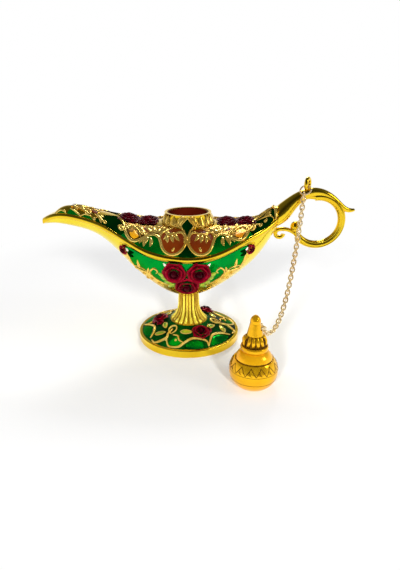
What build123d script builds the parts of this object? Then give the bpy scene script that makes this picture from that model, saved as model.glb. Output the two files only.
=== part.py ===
"""Genie oil lamp: an enamelled, gold plated casting on a round foot, with a stopper lid on a chain.

The origin is the centre of the foot's underside. +Z is up, +X points to the handle, the spout
points to -X, and the lid stands on the table in front of the lamp, at -Y.
"""

import math
import os

from build123d import *

os.makedirs("parts", exist_ok=True)

# Foot
foot_radius = 22.3
foot_edge = 3.3
foot_rise = 4.9
foot_lip = 1.2
foot_hollow_radius = 17.5
foot_hollow_depth = 1.6
foot_rose_circle = 13.0
foot_rose_count = 3
foot_rose_radius = 3.1

# Stem
stem_height = 12.9
stem_base_radius = 8.3
stem_neck_radius = 4.2
stem_straight = 6.0
stem_taper = 0.3
stem_trim = 3.0
flute_count = 26
flute_radius = 0.42

# Screw that ties the foot and the stem to the bowl
screw_radius = 2.0
screw_head_radius = 3.6
screw_head_height = 2.0
screw_reach = 5.0
washer_radius = 4.8
washer_thickness = 0.8
thread_clearance = 0.05
bore_clearance = 0.3
boss_radius = 4.0

# Body: bowl below the rim, deck above it
hull_depth = 21.4
body_wall = 1.6
enamel_thickness = 0.5
band_height = 2.4
band_proud = 0.9
spout_bore_radius = 0.9

# Neck
neck_bore_radius = 8.2
neck_enamel_thickness = 0.4
neck_wall = 1.1
neck_height = 3.8
neck_skirt_radius = 12.2
neck_petal_count = 12
neck_petal_radius = 1.6
neck_flare_radius = 6.0

# Roses and buds
petal_count = 5
petal_share = 0.42
rose_bud_share = 0.5
rose_bud_rise = 0.3
hull_rose_radius = 3.9
hull_rose_spread = 4.6
hull_rose_angle = 13.0
low_rose_angle = 32.0
bud_radius = 1.7
bud_places = (-25.5, 23.5)
bud_angle = 22.0
deck_rose_radius = 3.7
deck_rose_places = {"spout": (-24.4, -16.4), "handle": (16.3, 24.2)}
foot_rose_start = -66.0

# Enamel panel of the bowl: its distance from the rim and the keel, and the places that shape it
panel_margin = 1.8
panel_border = 5.5
panel_places = (-27.0, -14.0, 0.0, 13.0, 25.0)
border_places = (22.0, 12.0, 0.0, -12.0, -24.0)

# Enamel cells of the deck: place along X, place across, half length and half width
green_cells = ((-12.4, 16.0, 2.2, 3.6), (12.0, 16.0, 2.2, 3.6), (-30.5, 7.2, 3.4, 1.7), (29.5, 6.0, 3.0, 1.7))
red_cells = ((-5.0, 17.6, 4.0, 3.2), (5.0, 17.6, 4.0, 3.2))

# Handle, placed from the centre of its loop
loop_reach = 17.2
loop_rise = 10.1
loop_hole_radius = 8.5
loop_tube_radius = 1.6
loop_start = 100.0
loop_end = -140.0
curl_radius = 1.7
curl_tube_radius = 0.85
curl_turn = 250.0
curl_place = (-15.8, -3.6)
leaf_radius = 2.3
leaf_place = (-8.8, -2.4)

# Strand of the handle: place along X and up from the centre of the loop, climb and radius
strand_sections = [
    (-12.4, 6.0, 40.0, 3.2),
    (-7.3, 10.3, 28.0, 2.3),
    (-0.5, 11.9, 0.0, 1.75),
    (6.2, 8.8, -38.0, 1.45),
    (11.2, 5.0, -22.0, 1.1),
    (15.0, 4.7, 16.0, 0.55),
]

# Chain: eye, rings and links
eye_place = (-5.2, 15.3)
eye_radius = 2.1
eye_wire_radius = 0.8
link_wire_radius = 0.3
link_bend_radius = 0.85
link_length = 2.3
link_clearance = 0.1
top_ring_radius = 2.2
lid_ring_radius = 2.8
lid_ring_play = 0.22
chain_slack = 1.29
top_ring_angle = -45.0
lid_ring_angle = 15.0

# Lid, standing on the table
lid_x = 24.8
lid_y = -40.8
lid_base_radius = 5.4
bulb_radius = 9.0
bulb_height = 11.2
bulb_widest = 5.6
seam_radius = 7.3
seam_step = 0.4
dome_height = 3.4
dome_fullness = 0.62
flange_radius = 4.8
flange_thickness = 2.0
cone_height = 4.0
finial_base_radius = 2.95
finial_hole_rise = 2.3
finial_hole_offset = 0.75
finial_cone_height = 4.6
finial_top_radius = 1.9
finial_tip_height = 2.9
finial_tip_flat = 0.4
acorn_width_share = 0.85
acorn_height_share = 0.6
lid_wall = 1.2
lid_flute_count = 14
lid_flute_radius = 0.6
stud_radius = 1.1
nut_radius = 2.6
nut_height = 2.0

# Heights that follow from the sizes above
foot_top = foot_edge + foot_rise
keel_height = foot_top + stem_height
rim_height = keel_height + hull_depth

# Lines of the body from the spout to the handle: place along X, half width, and the heights of
# keel, rim and ridge above the lowest point of the rim.
body_lines = [
    (-60.0, 1.5, 9.2, 10.4, 11.2),
    (-56.0, 2.8, 9.4, 12.3, 13.0),
    (-52.0, 3.5, 9.0, 13.0, 16.1),
    (-46.5, 4.6, 7.9, 12.6, 16.5),
    (-40.5, 6.3, 6.2, 11.4, 15.1),
    (-34.6, 9.0, 3.0, 9.8, 13.7),
    (-28.0, 13.2, -3.0, 7.3, 12.0),
    (-21.0, 17.4, -10.2, 4.3, 10.6),
    (-11.0, 21.2, -18.0, 1.1, 10.3),
    (0.0, 22.5, -hull_depth, 0.0, 10.4),
    (11.0, 21.2, -18.0, 1.2, 10.0),
    (20.5, 16.7, -12.0, 4.3, 9.8),
    (28.0, 11.8, -5.6, 6.9, 10.6),
    (33.0, 8.0, 1.0, 9.2, 13.8),
    (36.8, 5.0, 6.9, 12.0, 16.4),
]
tip_x = body_lines[0][0]
root_x, root_half_width, root_keel, root_rim, root_ridge = body_lines[-1]
waist_ridge = [ridge for x, half_width, keel, rim, ridge in body_lines if x == 0][0]
deck_top = rim_height + waist_ridge
hollow_lines = body_lines[2:-1]


def keep(piece, label):
    """Names a finished piece and writes it."""
    piece.part.label = label
    export_step(piece.part, f"parts/{label}.step")


def keep_both(front, label):
    """Writes a piece of the front flank and its mirror image on the back flank."""
    with BuildPart() as back:
        mirror(front.part, about=Plane.XZ)
    keep(front, f"{label}_front")
    keep(back, f"{label}_back")


def body_loft(lines, growth):
    """Egg-shaped sections through the body lines, grown outwards or, if negative, inwards."""
    with BuildPart() as lofted:
        for x, half_width, keel, rim, ridge in lines:
            with BuildSketch(Plane.YZ.offset(x)):
                with BuildLine():
                    middle = (0, rim_height + rim)
                    EllipticalCenterArc(
                        middle, half_width + growth, rim - keel + growth, start_angle=180, arc_size=180
                    )
                    EllipticalCenterArc(
                        middle, half_width + growth, ridge - rim + growth, start_angle=0, arc_size=180
                    )
                make_face()
        loft()
    return lofted


def lines_at(x):
    """Half width and the heights of keel, rim and ridge at a place along X, between the body lines."""
    for near, far in zip(body_lines, body_lines[1:]):
        if near[0] <= x <= far[0]:
            share = (x - near[0]) / (far[0] - near[0])
            half_width, keel, rim, ridge = [a + share * (b - a) for a, b in zip(near[1:], far[1:])]
            return half_width, rim_height + keel, rim_height + rim, rim_height + ridge
    raise ValueError("outside the body lines")


# Reference solids: the whole body, its hollow, its enamel skin and everything below the rim
body = body_loft(body_lines, 0)
hollow = body_loft(hollow_lines, -body_wall)
grown = body_loft(body_lines, enamel_thickness)

with BuildPart() as enamel_skin:
    add(grown.part)
    add(body.part, mode=Mode.SUBTRACT)

overshoot = 8.0
sheer_points = [(line[0], rim_height + line[3]) for line in body_lines]
sheer_points.insert(0, (sheer_points[0][0] - overshoot, sheer_points[0][1]))
sheer_points.append((sheer_points[-1][0] + overshoot, sheer_points[-1][1] + overshoot))

with BuildPart() as below_rim:
    with BuildSketch(Plane.XZ):
        with BuildLine():
            sheer = Spline(*sheer_points)
            Polyline(sheer @ 1, ((sheer @ 1).X, -overshoot), ((sheer @ 0).X, -overshoot), sheer @ 0)
        make_face()
    extrude(amount=foot_radius + overshoot, both=True)

# Foot: a round plate, hollow underneath, with a seat for the enamel inside its lip
foot_slope = math.degrees(math.atan2(foot_rise, foot_radius - foot_lip - stem_base_radius))
washer_seat = screw_head_height + washer_thickness + bore_clearance
enamel_outer = foot_radius - foot_lip
screw_pocket_radius = washer_radius + bore_clearance
screw_bore_radius = screw_radius + bore_clearance

with BuildPart() as foot:
    with BuildSketch(Plane.XZ):
        with BuildLine():
            Polyline(
                (screw_bore_radius, washer_seat),
                (screw_pocket_radius, washer_seat),
                (screw_pocket_radius, foot_hollow_depth),
                (foot_hollow_radius, foot_hollow_depth),
                (foot_hollow_radius, 0),
                (foot_radius, 0),
                (foot_radius, foot_edge),
                (enamel_outer, foot_edge),
                (enamel_outer, foot_edge - enamel_thickness),
                (stem_base_radius, foot_top - enamel_thickness),
                (stem_base_radius, foot_top),
                (screw_bore_radius, foot_top),
                close=True,
            )
        make_face()
    revolve(axis=Axis.Z)
    fillet(foot.edges().filter_by(GeomType.CIRCLE).group_by(SortBy.RADIUS)[-1], foot_lip / 4)
keep(foot, "foot")

with BuildPart() as foot_enamel:
    with BuildSketch(Plane.XZ):
        with BuildLine():
            Polyline(
                (enamel_outer, foot_edge - enamel_thickness),
                (enamel_outer, foot_edge),
                (stem_base_radius, foot_top),
                (stem_base_radius, foot_top - enamel_thickness),
                close=True,
            )
        make_face()
    revolve(axis=Axis.Z)
keep(foot_enamel, "foot_enamel")


def rose(radius):
    """A rose of round petals about a bud, centred on its own XY plane: its lower half is its root."""
    bud = rose_bud_share * radius
    petal = petal_share * radius
    with BuildPart() as flower:
        with Locations((0, 0, rose_bud_rise * bud)):
            Sphere(bud)
        with PolarLocations(radius - petal, petal_count):
            Sphere(petal)
    return flower


# Roses on the foot, each seated flat on the enamel's slope
foot_rose = rose(foot_rose_radius)
with BuildPart() as foot_flower_bed:
    add(foot.part)
    add(foot_enamel.part)

foot_rose_rise = foot_edge + (enamel_outer - foot_rose_circle) * math.tan(math.radians(foot_slope))
with BuildPart() as foot_roses:
    for number in range(foot_rose_count):
        bearing = math.radians(foot_rose_start + number * 360 / foot_rose_count)
        outwards = Vector(math.cos(bearing), math.sin(bearing), 0)
        lean = math.radians(foot_slope)
        facing = outwards * math.sin(lean) + Vector(0, 0, math.cos(lean))
        seat = outwards * foot_rose_circle + Vector(0, 0, foot_rose_rise)
        with Locations(Plane(origin=seat, z_dir=facing)):
            add(foot_rose.part)
    add(foot_flower_bed.part, mode=Mode.SUBTRACT)
keep(foot_roses, "foot_roses")

# Stem: a fluted trumpet, seated on the foot and against the bowl's round bottom
stem_flare_start = foot_top + stem_height - stem_straight
stem_shoulder = stem_neck_radius + stem_taper
stem_top = keel_height + stem_trim
with BuildPart() as flute:
    with BuildLine(Plane.XZ):
        flute_run = Line((stem_neck_radius, stem_top), (stem_shoulder, stem_flare_start))
        flute_flare = TangentArc(flute_run @ 1, (stem_base_radius, foot_top), tangent=flute_run % 1)
        Line(flute_flare @ 1, flute_flare @ 1 + (flute_flare % 1) * overshoot / 4)
    with BuildSketch(Plane(origin=flute_run @ 0, z_dir=flute_run % 0)):
        Circle(flute_radius)
    sweep()

with BuildPart() as stem:
    with BuildSketch(Plane.XZ):
        with BuildLine():
            side = Line((stem_neck_radius, stem_top), (stem_shoulder, stem_flare_start))
            flare = TangentArc(side @ 1, (stem_base_radius, foot_top), tangent=side % 1)
            Polyline(
                flare @ 1,
                (screw_bore_radius, foot_top),
                (screw_bore_radius, stem_top),
                side @ 0,
            )
        make_face()
    revolve(axis=Axis.Z)
    with PolarLocations(0, flute_count):
        add(flute.part, mode=Mode.SUBTRACT)
    add(body.part, mode=Mode.SUBTRACT)
keep(stem, "stem")

# Screw and washer under the foot
screw_top = keel_height + body_wall + screw_reach
with BuildPart() as base_screw:
    with BuildSketch(Plane.XY.offset(washer_seat - washer_thickness - screw_head_height)):
        Circle(screw_head_radius)
    extrude(amount=screw_head_height)
    with BuildSketch(Plane.XY.offset(washer_seat - washer_thickness)):
        Circle(screw_radius)
    extrude(amount=screw_top - washer_seat + washer_thickness)
    with BuildSketch(Plane.XY.offset(washer_seat - washer_thickness - screw_head_height)):
        Rectangle(2 * screw_head_radius, screw_radius / 2)
    extrude(amount=screw_head_height / 2, mode=Mode.SUBTRACT)
keep(base_screw, "base_screw")

with BuildPart() as base_washer:
    with BuildSketch(Plane.XY.offset(washer_seat - washer_thickness)):
        Circle(washer_radius)
        Circle(screw_bore_radius, mode=Mode.SUBTRACT)
    extrude(amount=washer_thickness)
keep(base_washer, "base_washer")

# Bowl: the lower shell with half of the spout, and a boss for the screw
spout_line = rim_height + body_lines[1][3] - spout_bore_radius / 2
with BuildPart() as spout_bore:
    with BuildSketch(Plane.YZ.offset(tip_x - overshoot)):
        with Locations((0, spout_line)):
            Circle(spout_bore_radius)
    extrude(amount=hollow_lines[0][0] - tip_x + overshoot + body_wall)

with BuildPart() as bowl:
    add(body.part)
    add(below_rim.part, mode=Mode.INTERSECT)
    add(hollow.part, mode=Mode.SUBTRACT)
    with BuildSketch(Plane.XY.offset(keel_height + body_wall / 2)):
        Circle(boss_radius)
    extrude(amount=screw_reach + body_wall)
    with BuildSketch(Plane.XY.offset(keel_height - body_wall)):
        Circle(screw_radius + thread_clearance)
    extrude(amount=screw_top - keel_height + body_wall + bore_clearance, mode=Mode.SUBTRACT)
    add(spout_bore.part, mode=Mode.SUBTRACT)
keep(bowl, "bowl")

# Deck: the upper shell, open at the neck
neck_inner_radius = neck_bore_radius + neck_enamel_thickness
neck_outer_radius = neck_inner_radius + neck_wall
with BuildPart() as deck:
    add(body.part)
    add(below_rim.part, mode=Mode.SUBTRACT)
    add(hollow.part, mode=Mode.SUBTRACT)
    with BuildSketch(Plane.XY.offset(rim_height)):
        Circle(neck_outer_radius)
    extrude(amount=deck_top, mode=Mode.SUBTRACT)
    add(spout_bore.part, mode=Mode.SUBTRACT)
keep(deck, "deck")

# Rim band: a bead soldered over the seam of bowl and deck
with BuildPart() as rim_band:
    for x, half_width, keel, rim, ridge in body_lines:
        with BuildSketch(Plane.YZ.offset(x)):
            with Locations((0, rim_height + rim)):
                SlotOverall(2 * (half_width + band_proud), band_height)
    loft()
    add(body.part, mode=Mode.SUBTRACT)
keep(rim_band, "rim_band")

# Neck: a collar with a skirt of petals on the deck, and enamel inside it
neck_top = deck_top + neck_height
neck_seat = deck_top - body_wall
with BuildPart() as neck_collar:
    with BuildSketch(Plane.XZ):
        with BuildLine():
            rim_out = (neck_outer_radius, neck_top)
            Polyline(
                rim_out,
                (neck_inner_radius, neck_top),
                (neck_inner_radius, neck_seat),
                (neck_outer_radius, neck_seat),
                (neck_outer_radius, deck_top - neck_height),
                (neck_skirt_radius, deck_top - neck_height),
                (neck_skirt_radius, deck_top - neck_height / 3),
            )
            RadiusArc((neck_skirt_radius, deck_top - neck_height / 3), rim_out, neck_flare_radius)
        make_face()
    revolve(axis=Axis.Z)
    with BuildSketch(Plane.XY.offset(deck_top - neck_height)):
        with PolarLocations(neck_skirt_radius + neck_petal_radius / 2, neck_petal_count):
            Circle(neck_petal_radius)
    extrude(amount=neck_height * 1.4, mode=Mode.SUBTRACT)
    add(deck.part, mode=Mode.SUBTRACT)
    with BuildSketch(Plane.XY.offset(neck_seat)):
        Circle(neck_skirt_radius + neck_petal_radius)
        Circle(neck_outer_radius, mode=Mode.SUBTRACT)
    extrude(amount=-hull_depth, mode=Mode.SUBTRACT)
keep(neck_collar, "neck_collar")

with BuildPart() as neck_enamel:
    with BuildSketch(Plane.XY.offset(neck_seat)):
        Circle(neck_inner_radius)
        Circle(neck_bore_radius, mode=Mode.SUBTRACT)
    extrude(amount=neck_top - neck_seat - neck_enamel_thickness)
keep(neck_enamel, "neck_enamel")

# Green panels on the flanks of the bowl
panel_top = [(x, lines_at(x)[2] - panel_margin) for x in panel_places]
panel_foot = [(x, lines_at(x)[1] + panel_border) for x in border_places]
with BuildPart() as bowl_enamel:
    with BuildSketch(Plane.XZ):
        with BuildLine():
            upper = Spline(*panel_top)
            lower = Spline(*panel_foot)
            Line(upper @ 1, lower @ 0)
            Line(lower @ 1, upper @ 0)
        make_face()
    extrude(amount=foot_radius + overshoot)
    add(enamel_skin.part, mode=Mode.INTERSECT)
    add(rim_band.part, mode=Mode.SUBTRACT)
keep_both(bowl_enamel, "bowl_enamel")


def flank_plane(x, angle):
    """Plane on the bowl's front flank, at an angle below the rim, facing out."""
    half_width, keel, rim, ridge = lines_at(x)
    depth = rim - keel
    across = math.cos(math.radians(angle))
    down = math.sin(math.radians(angle))
    seat = (x, -half_width * across, rim - depth * down)
    return Plane(origin=seat, z_dir=(0, -across / half_width, -down / depth))


# Three roses and two buds on each flank
flank_roses = [
    flank_plane(-hull_rose_spread, hull_rose_angle),
    flank_plane(hull_rose_spread, hull_rose_angle),
    flank_plane(0, low_rose_angle),
]
flank_buds = [flank_plane(x, bud_angle) for x in bud_places]
for flower, places, label in (
    (rose(hull_rose_radius), flank_roses, "bowl_roses"),
    (rose(bud_radius), flank_buds, "bowl_buds"),
):
    with BuildPart() as flank_flowers:
        with Locations(*places):
            add(flower.part)
        add(grown.part, mode=Mode.SUBTRACT)
        add(rim_band.part, mode=Mode.SUBTRACT)
    keep_both(flank_flowers, label)

# Enamel cells on the deck
for colour, cells in (("green", green_cells), ("red", red_cells)):
    with BuildPart() as deck_cells:
        with BuildSketch(Plane.XY.offset(rim_height)):
            for x, across, half_length, half_width in cells:
                with Locations((x, -across)):
                    Ellipse(half_length, half_width)
        extrude(amount=deck_top)
        add(enamel_skin.part, mode=Mode.INTERSECT)
        add(below_rim.part, mode=Mode.SUBTRACT)
        add(rim_band.part, mode=Mode.SUBTRACT)
    keep_both(deck_cells, f"deck_enamel_{colour}")

# Roses along the ridge, on both sides of the neck
deck_rose = rose(deck_rose_radius)
for side_name, places in deck_rose_places.items():
    with BuildPart() as deck_roses:
        with Locations(*[Plane(origin=(x, 0, lines_at(x)[3])) for x in places]):
            add(deck_rose.part)
        add(body.part, mode=Mode.SUBTRACT)
        add(neck_collar.part, mode=Mode.SUBTRACT)
    keep(deck_roses, f"deck_roses_{side_name}")

# Handle: a strand from the body's end to a flicked tip, a loop under it, a curl and a leaf
loop_x = root_x + loop_reach
loop_height = rim_height + loop_rise
loop_radius = loop_hole_radius + loop_tube_radius
root_middle = rim_height + (root_keel + root_ridge) / 2
root_half_height = (root_ridge - root_keel) / 2
loop_axis = Axis((loop_x, 0, loop_height), (0, 1, 0))


def loop_point(angle):
    """Point of the loop's centre line and the direction in which it runs on, clockwise from +X."""
    across, rise = math.cos(math.radians(angle)), math.sin(math.radians(angle))
    return (loop_x + loop_radius * across, loop_height + loop_radius * rise), (rise, -across)


with BuildPart() as handle:
    with BuildSketch(Plane.YZ.offset(root_x)):
        with Locations((0, root_middle)):
            Ellipse(root_half_width - band_proud, root_half_height - band_proud)
    for along, rise, climb, radius in strand_sections:
        heading = (math.cos(math.radians(climb)), 0, math.sin(math.radians(climb)))
        middle = (loop_x + along, 0, loop_height + rise)
        with BuildSketch(Plane(origin=middle, x_dir=(0, 1, 0), z_dir=heading)):
            Circle(radius)
    loft()
    (start_x, start_z), (run_x, run_z) = loop_point(loop_start)
    with BuildSketch(Plane(origin=(start_x, 0, start_z), x_dir=(0, 1, 0), z_dir=(run_x, 0, run_z))):
        Circle(loop_tube_radius)
    revolve(axis=loop_axis, revolution_arc=loop_start - loop_end)
    curl_start, curl_heading = loop_point(loop_end)
    with BuildLine(Plane.XZ):
        curl_end = (loop_x + curl_place[0], loop_height + curl_place[1])
        rise_to_curl = TangentArc(curl_start, curl_end, tangent=curl_heading)
        JernArc(rise_to_curl @ 1, rise_to_curl % 1, curl_radius, curl_turn)
    with BuildSketch(Plane(origin=rise_to_curl @ 0, z_dir=rise_to_curl % 0)):
        Circle(curl_tube_radius)
    sweep()
    with Locations((loop_x + leaf_place[0], 0, loop_height + leaf_place[1])):
        Sphere(leaf_radius)
    add(body.part, mode=Mode.SUBTRACT)
keep(handle, "handle")

# Chain eye: a cast ring on top of the handle, in the upright plane in which the chain hangs
eye_x = loop_x + eye_place[0]
eye_height = loop_height + eye_place[1]
eye_middle = Vector(eye_x, 0, eye_height)
hang = Vector(lid_x - eye_x, lid_y, 0).normalized()
pin = Vector(-hang.Y, hang.X, 0)


def hung(out, height):
    """Point of the chain's plane, from the distance out from the eye and the height."""
    return Vector(eye_x, 0, height) + hang * out


with BuildPart() as chain_eye:
    with BuildSketch(Plane(origin=eye_middle + hang * eye_radius, x_dir=pin, z_dir=(0, 0, 1))):
        Circle(eye_wire_radius)
    revolve(axis=Axis(eye_middle, pin))
    add(handle.part, mode=Mode.SUBTRACT)
keep(chain_eye, "chain_eye")

# Chain: a ring in the eye, pairs of links that hang in a catenary, a last link and the lid's ring.
# Links that hold pins stand in the hanging plane, and every other link turns edge on to it.
pin_gap = 2 * link_wire_radius + link_clearance
inner_pitch = link_length - 2 * pin_gap
pair_pitch = link_length + inner_pitch
eye_play = eye_radius - eye_wire_radius - link_wire_radius - link_clearance
top_turn = math.radians(top_ring_angle)
ring_start = Vector(eye_play * math.cos(top_turn), eye_height + eye_play * math.sin(top_turn))
hang_start = ring_start + Vector(math.cos(top_turn), math.sin(top_turn)) * (2 * top_ring_radius)

cone_seat = bulb_height + dome_height
finial_seat = cone_seat + flange_thickness + cone_height
hole_height = finial_seat + finial_hole_rise
finial_lean = (finial_base_radius - finial_top_radius) / finial_cone_height
radius_at_hole = finial_base_radius - finial_lean * finial_hole_rise
half_chord = math.sqrt(radius_at_hole**2 - finial_hole_offset**2)
ring_sag = lid_ring_radius - math.sqrt(lid_ring_radius**2 - half_chord**2)
finial_hole_radius = ring_sag / 2 + link_wire_radius + link_clearance / 2 + lid_ring_play
lid_turn = math.radians(lid_ring_angle)
lid_heading = Vector(math.cos(lid_turn), math.sin(lid_turn))
hole_out = math.hypot(lid_x - eye_x, lid_y) - finial_hole_offset
ring_end = Vector(hole_out, hole_height) + lid_heading * (ring_sag / 2)
hang_end = ring_end - lid_heading * (2 * lid_ring_radius)

hang_reach = hang_end - hang_start
span, fall = hang_reach.X, hang_reach.Y
pair_count = round((chain_slack * math.hypot(span, fall) - inner_pitch) / pair_pitch)
link_pitches = [pair_pitch] * pair_count + [inner_pitch]
chain_length = sum(link_pitches)


def hanging_angles(across, down):
    """Slopes of the links on the catenary of the chain's length that spans the given distances."""
    low, high = across / 50, across * 50
    for _ in range(80):
        scale = math.sqrt(low * high)
        if 2 * scale * math.sinh(across / (2 * scale)) > math.sqrt(chain_length**2 - down**2):
            low = scale
        else:
            high = scale
    arc = (down / math.tanh(across / (2 * scale)) - chain_length) / 2
    angles = []
    for pitch in link_pitches:
        angles.append(math.atan((arc + pitch / 2) / scale))
        arc += pitch
    return angles


# Straight links fall a little short of the curve, so the aim is moved until they end in place
aim = hang_reach
for _ in range(10):
    link_angles = hanging_angles(aim.X, aim.Y)
    reach = sum(
        [Vector(math.cos(angle), math.sin(angle)) * pitch for angle, pitch in zip(link_angles, link_pitches)],
        Vector(0, 0),
    )
    aim += hang_reach - reach


def chain_link(near, far, facing):
    """One closed link of round wire whose two end bends are centred on the wires at near and far."""
    along = (far - near).normalized()
    straight = link_length - 2 * link_bend_radius
    with BuildPart() as link:
        link_plane = Plane(origin=(near + far) / 2, x_dir=along, z_dir=facing)
        with BuildLine(link_plane):
            top = Line((-straight / 2, link_bend_radius), (straight / 2, link_bend_radius))
            bend = TangentArc(top @ 1, (straight / 2, -link_bend_radius), tangent=top % 1)
            bottom = Line(bend @ 1, (-straight / 2, -link_bend_radius))
            TangentArc(bottom @ 1, top @ 0, tangent=bottom % 1)
        with BuildSketch(Plane(origin=top @ 0.5, z_dir=along)):
            Circle(link_wire_radius)
        sweep()
    return link


def jump_ring(near, far):
    """A round ring whose plane holds the pin direction, between the wires at near and far."""
    along = (far - near).normalized()
    with BuildPart() as ring:
        with BuildSketch(Plane(origin=far, x_dir=along, z_dir=pin)):
            Circle(link_wire_radius)
        revolve(axis=Axis((near + far) / 2, along.cross(pin)))
    return ring


def hung_at(place):
    """Point in space of a place in the chain's plane."""
    return hung(place.X, place.Y)


keep(jump_ring(hung_at(ring_start), hung_at(hang_start)), "top_ring")

joint_places = [ring_start]
place = hang_start
for number, (angle, pitch) in enumerate(zip(link_angles, link_pitches), start=1):
    joint_places.append(place)
    heading = Vector(math.cos(angle), math.sin(angle))
    inner_pin = place + heading * inner_pitch
    holder = chain_link(hung_at(place - heading * pin_gap), hung_at(inner_pin + heading * pin_gap), pin)
    place += heading * pitch
    if number > pair_count:
        keep(holder, "chain_last_link")
    else:
        edge_on = pin.cross(hung_at(place) - hung_at(inner_pin))
        pin_link = chain_link(hung_at(inner_pin), hung_at(place), edge_on)
        with BuildPart() as pair:
            add(holder.part)
            add(pin_link.part)
        keep(pair, f"chain_links_{number:02d}")
joint_places.append(place)
joint_places.append(Vector(hole_out, hole_height))
keep(jump_ring(hung_at(hang_end), hung_at(ring_end)), "lid_ring")

# Lid: a round bulb, a dome, a fluted cone with a flange and a finial, clamped by a stud
lid_axis = Axis((lid_x, lid_y, 0), (0, 0, 1))
lid_plane = Plane(origin=(lid_x, lid_y, 0), x_dir=(1, 0, 0), z_dir=(0, -1, 0))
lip_radius = seam_radius - lid_wall

with BuildPart() as lid_bulb:
    with BuildSketch(lid_plane):
        with BuildLine():
            floor = Line((0, 0), (lid_base_radius, 0))
            belly = ThreePointArc(floor @ 1, (bulb_radius, bulb_widest), (seam_radius, bulb_height))
            rim = Line(belly @ 1, (lip_radius, bulb_height))
            inside = ThreePointArc(
                rim @ 1, (bulb_radius - lid_wall, bulb_widest), (lid_base_radius - lid_wall, lid_wall)
            )
            Polyline(inside @ 1, (0, lid_wall), floor @ 0)
        make_face()
    revolve(axis=lid_axis)
keep(lid_bulb, "lid_bulb")

stud_bore_radius = stud_radius + thread_clearance
dome_radius = seam_radius - seam_step
with BuildPart() as lid_dome:
    with BuildSketch(lid_plane):
        with BuildLine():
            shoulder = ThreePointArc(
                (dome_radius, bulb_height),
                ((dome_radius + flange_radius) / 2, bulb_height + dome_fullness * dome_height),
                (flange_radius - lid_wall / 2, cone_seat),
            )
            Polyline(
                shoulder @ 1,
                (stud_bore_radius, cone_seat),
                (stud_bore_radius, cone_seat - lid_wall),
                (flange_radius - lid_wall, cone_seat - lid_wall),
                (lip_radius - bore_clearance, bulb_height),
                (lip_radius - bore_clearance, bulb_height - lid_wall),
                (lip_radius - thread_clearance, bulb_height - lid_wall),
                (lip_radius - thread_clearance, bulb_height),
                shoulder @ 0,
            )
        make_face()
    revolve(axis=lid_axis)
keep(lid_dome, "lid_dome")

cone_foot = cone_seat + flange_thickness
cone_foot_radius = flange_radius - flange_thickness / 3
with BuildPart() as lid_cone:
    with BuildSketch(lid_plane):
        with BuildLine():
            edge = ThreePointArc(
                (cone_foot_radius, cone_seat),
                (flange_radius, cone_seat + flange_thickness / 2),
                (cone_foot_radius, cone_foot),
            )
            Polyline(
                edge @ 1,
                (finial_base_radius, finial_seat),
                (stud_bore_radius, finial_seat),
                (stud_bore_radius, cone_seat),
                edge @ 0,
            )
        make_face()
    revolve(axis=lid_axis)
    for number in range(lid_flute_count):
        bearing = math.radians(number * 360 / lid_flute_count)
        outwards = Vector(math.cos(bearing), math.sin(bearing), 0)
        foot_point = Vector(lid_x, lid_y, cone_foot) + outwards * cone_foot_radius
        top_point = Vector(lid_x, lid_y, finial_seat) + outwards * finial_base_radius
        with BuildSketch(Plane(origin=foot_point, z_dir=top_point - foot_point)):
            Circle(lid_flute_radius)
        extrude(amount=(top_point - foot_point).length, mode=Mode.SUBTRACT)
keep(lid_cone, "lid_cone")

finial_shoulder = finial_seat + finial_cone_height
finial_tip = finial_shoulder + finial_tip_height
stud_end = finial_seat + finial_hole_rise - finial_hole_radius - lid_wall / 2
with BuildPart() as lid_finial:
    with BuildSketch(lid_plane):
        with BuildLine():
            cone_side = Line((finial_base_radius, finial_seat), (finial_top_radius, finial_shoulder))
            acorn = ThreePointArc(
                cone_side @ 1,
                (acorn_width_share * finial_top_radius, finial_shoulder + acorn_height_share * finial_tip_height),
                (finial_tip_flat, finial_tip),
            )
            Polyline(
                acorn @ 1,
                (0, finial_tip),
                (0, stud_end + thread_clearance),
                (stud_bore_radius, stud_end + thread_clearance),
                (stud_bore_radius, finial_seat),
                cone_side @ 0,
            )
        make_face()
    revolve(axis=lid_axis)
    hole_start = hung(hole_out, hole_height) - pin * (2 * finial_base_radius)
    with BuildSketch(Plane(origin=hole_start, z_dir=pin)):
        Circle(finial_hole_radius)
    extrude(amount=4 * finial_base_radius, mode=Mode.SUBTRACT)
keep(lid_finial, "lid_finial")

nut_seat = cone_seat - lid_wall
stud_start = nut_seat - nut_height - lid_wall / 2
with BuildPart() as lid_stud:
    with BuildSketch(Plane(origin=(lid_x, lid_y, stud_start))):
        Circle(stud_radius)
    extrude(amount=stud_end - stud_start)
keep(lid_stud, "lid_stud")

with BuildPart() as lid_nut:
    with BuildSketch(Plane(origin=(lid_x, lid_y, nut_seat - nut_height))):
        RegularPolygon(nut_radius, 6)
        Circle(stud_bore_radius, mode=Mode.SUBTRACT)
    extrude(amount=nut_height)
keep(lid_nut, "lid_nut")

# Places and slopes of the chain's joints
print("pin direction", [round(value, 6) for value in pin])
for place, turn in zip(joint_places, [top_turn, *link_angles, lid_turn, 0]):
    print("joint", [round(value, 4) for value in hung_at(place)], "slope", round(math.degrees(turn), 4))
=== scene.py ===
# %% [markdown]
# # A genie oil lamp, dressed in cells
# The real lamp is a small casting, gold plated, with coloured enamel run into its cells and little
# painted roses set on top. The solids come from the shared frame, already in place and in metres.
# This lesson keeps them as they are and adds what a caster and an enameller add: finishes, cells of
# enamel, cloison wires, scrolls, leaves and roses, each laid on the solid that carries it.

# %% Load the frame
import math

import bmesh
import bpy
import numpy as np
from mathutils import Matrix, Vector
from mathutils.bvhtree import BVHTree
from mathutils.geometry import delaunay_2d_cdt


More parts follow.
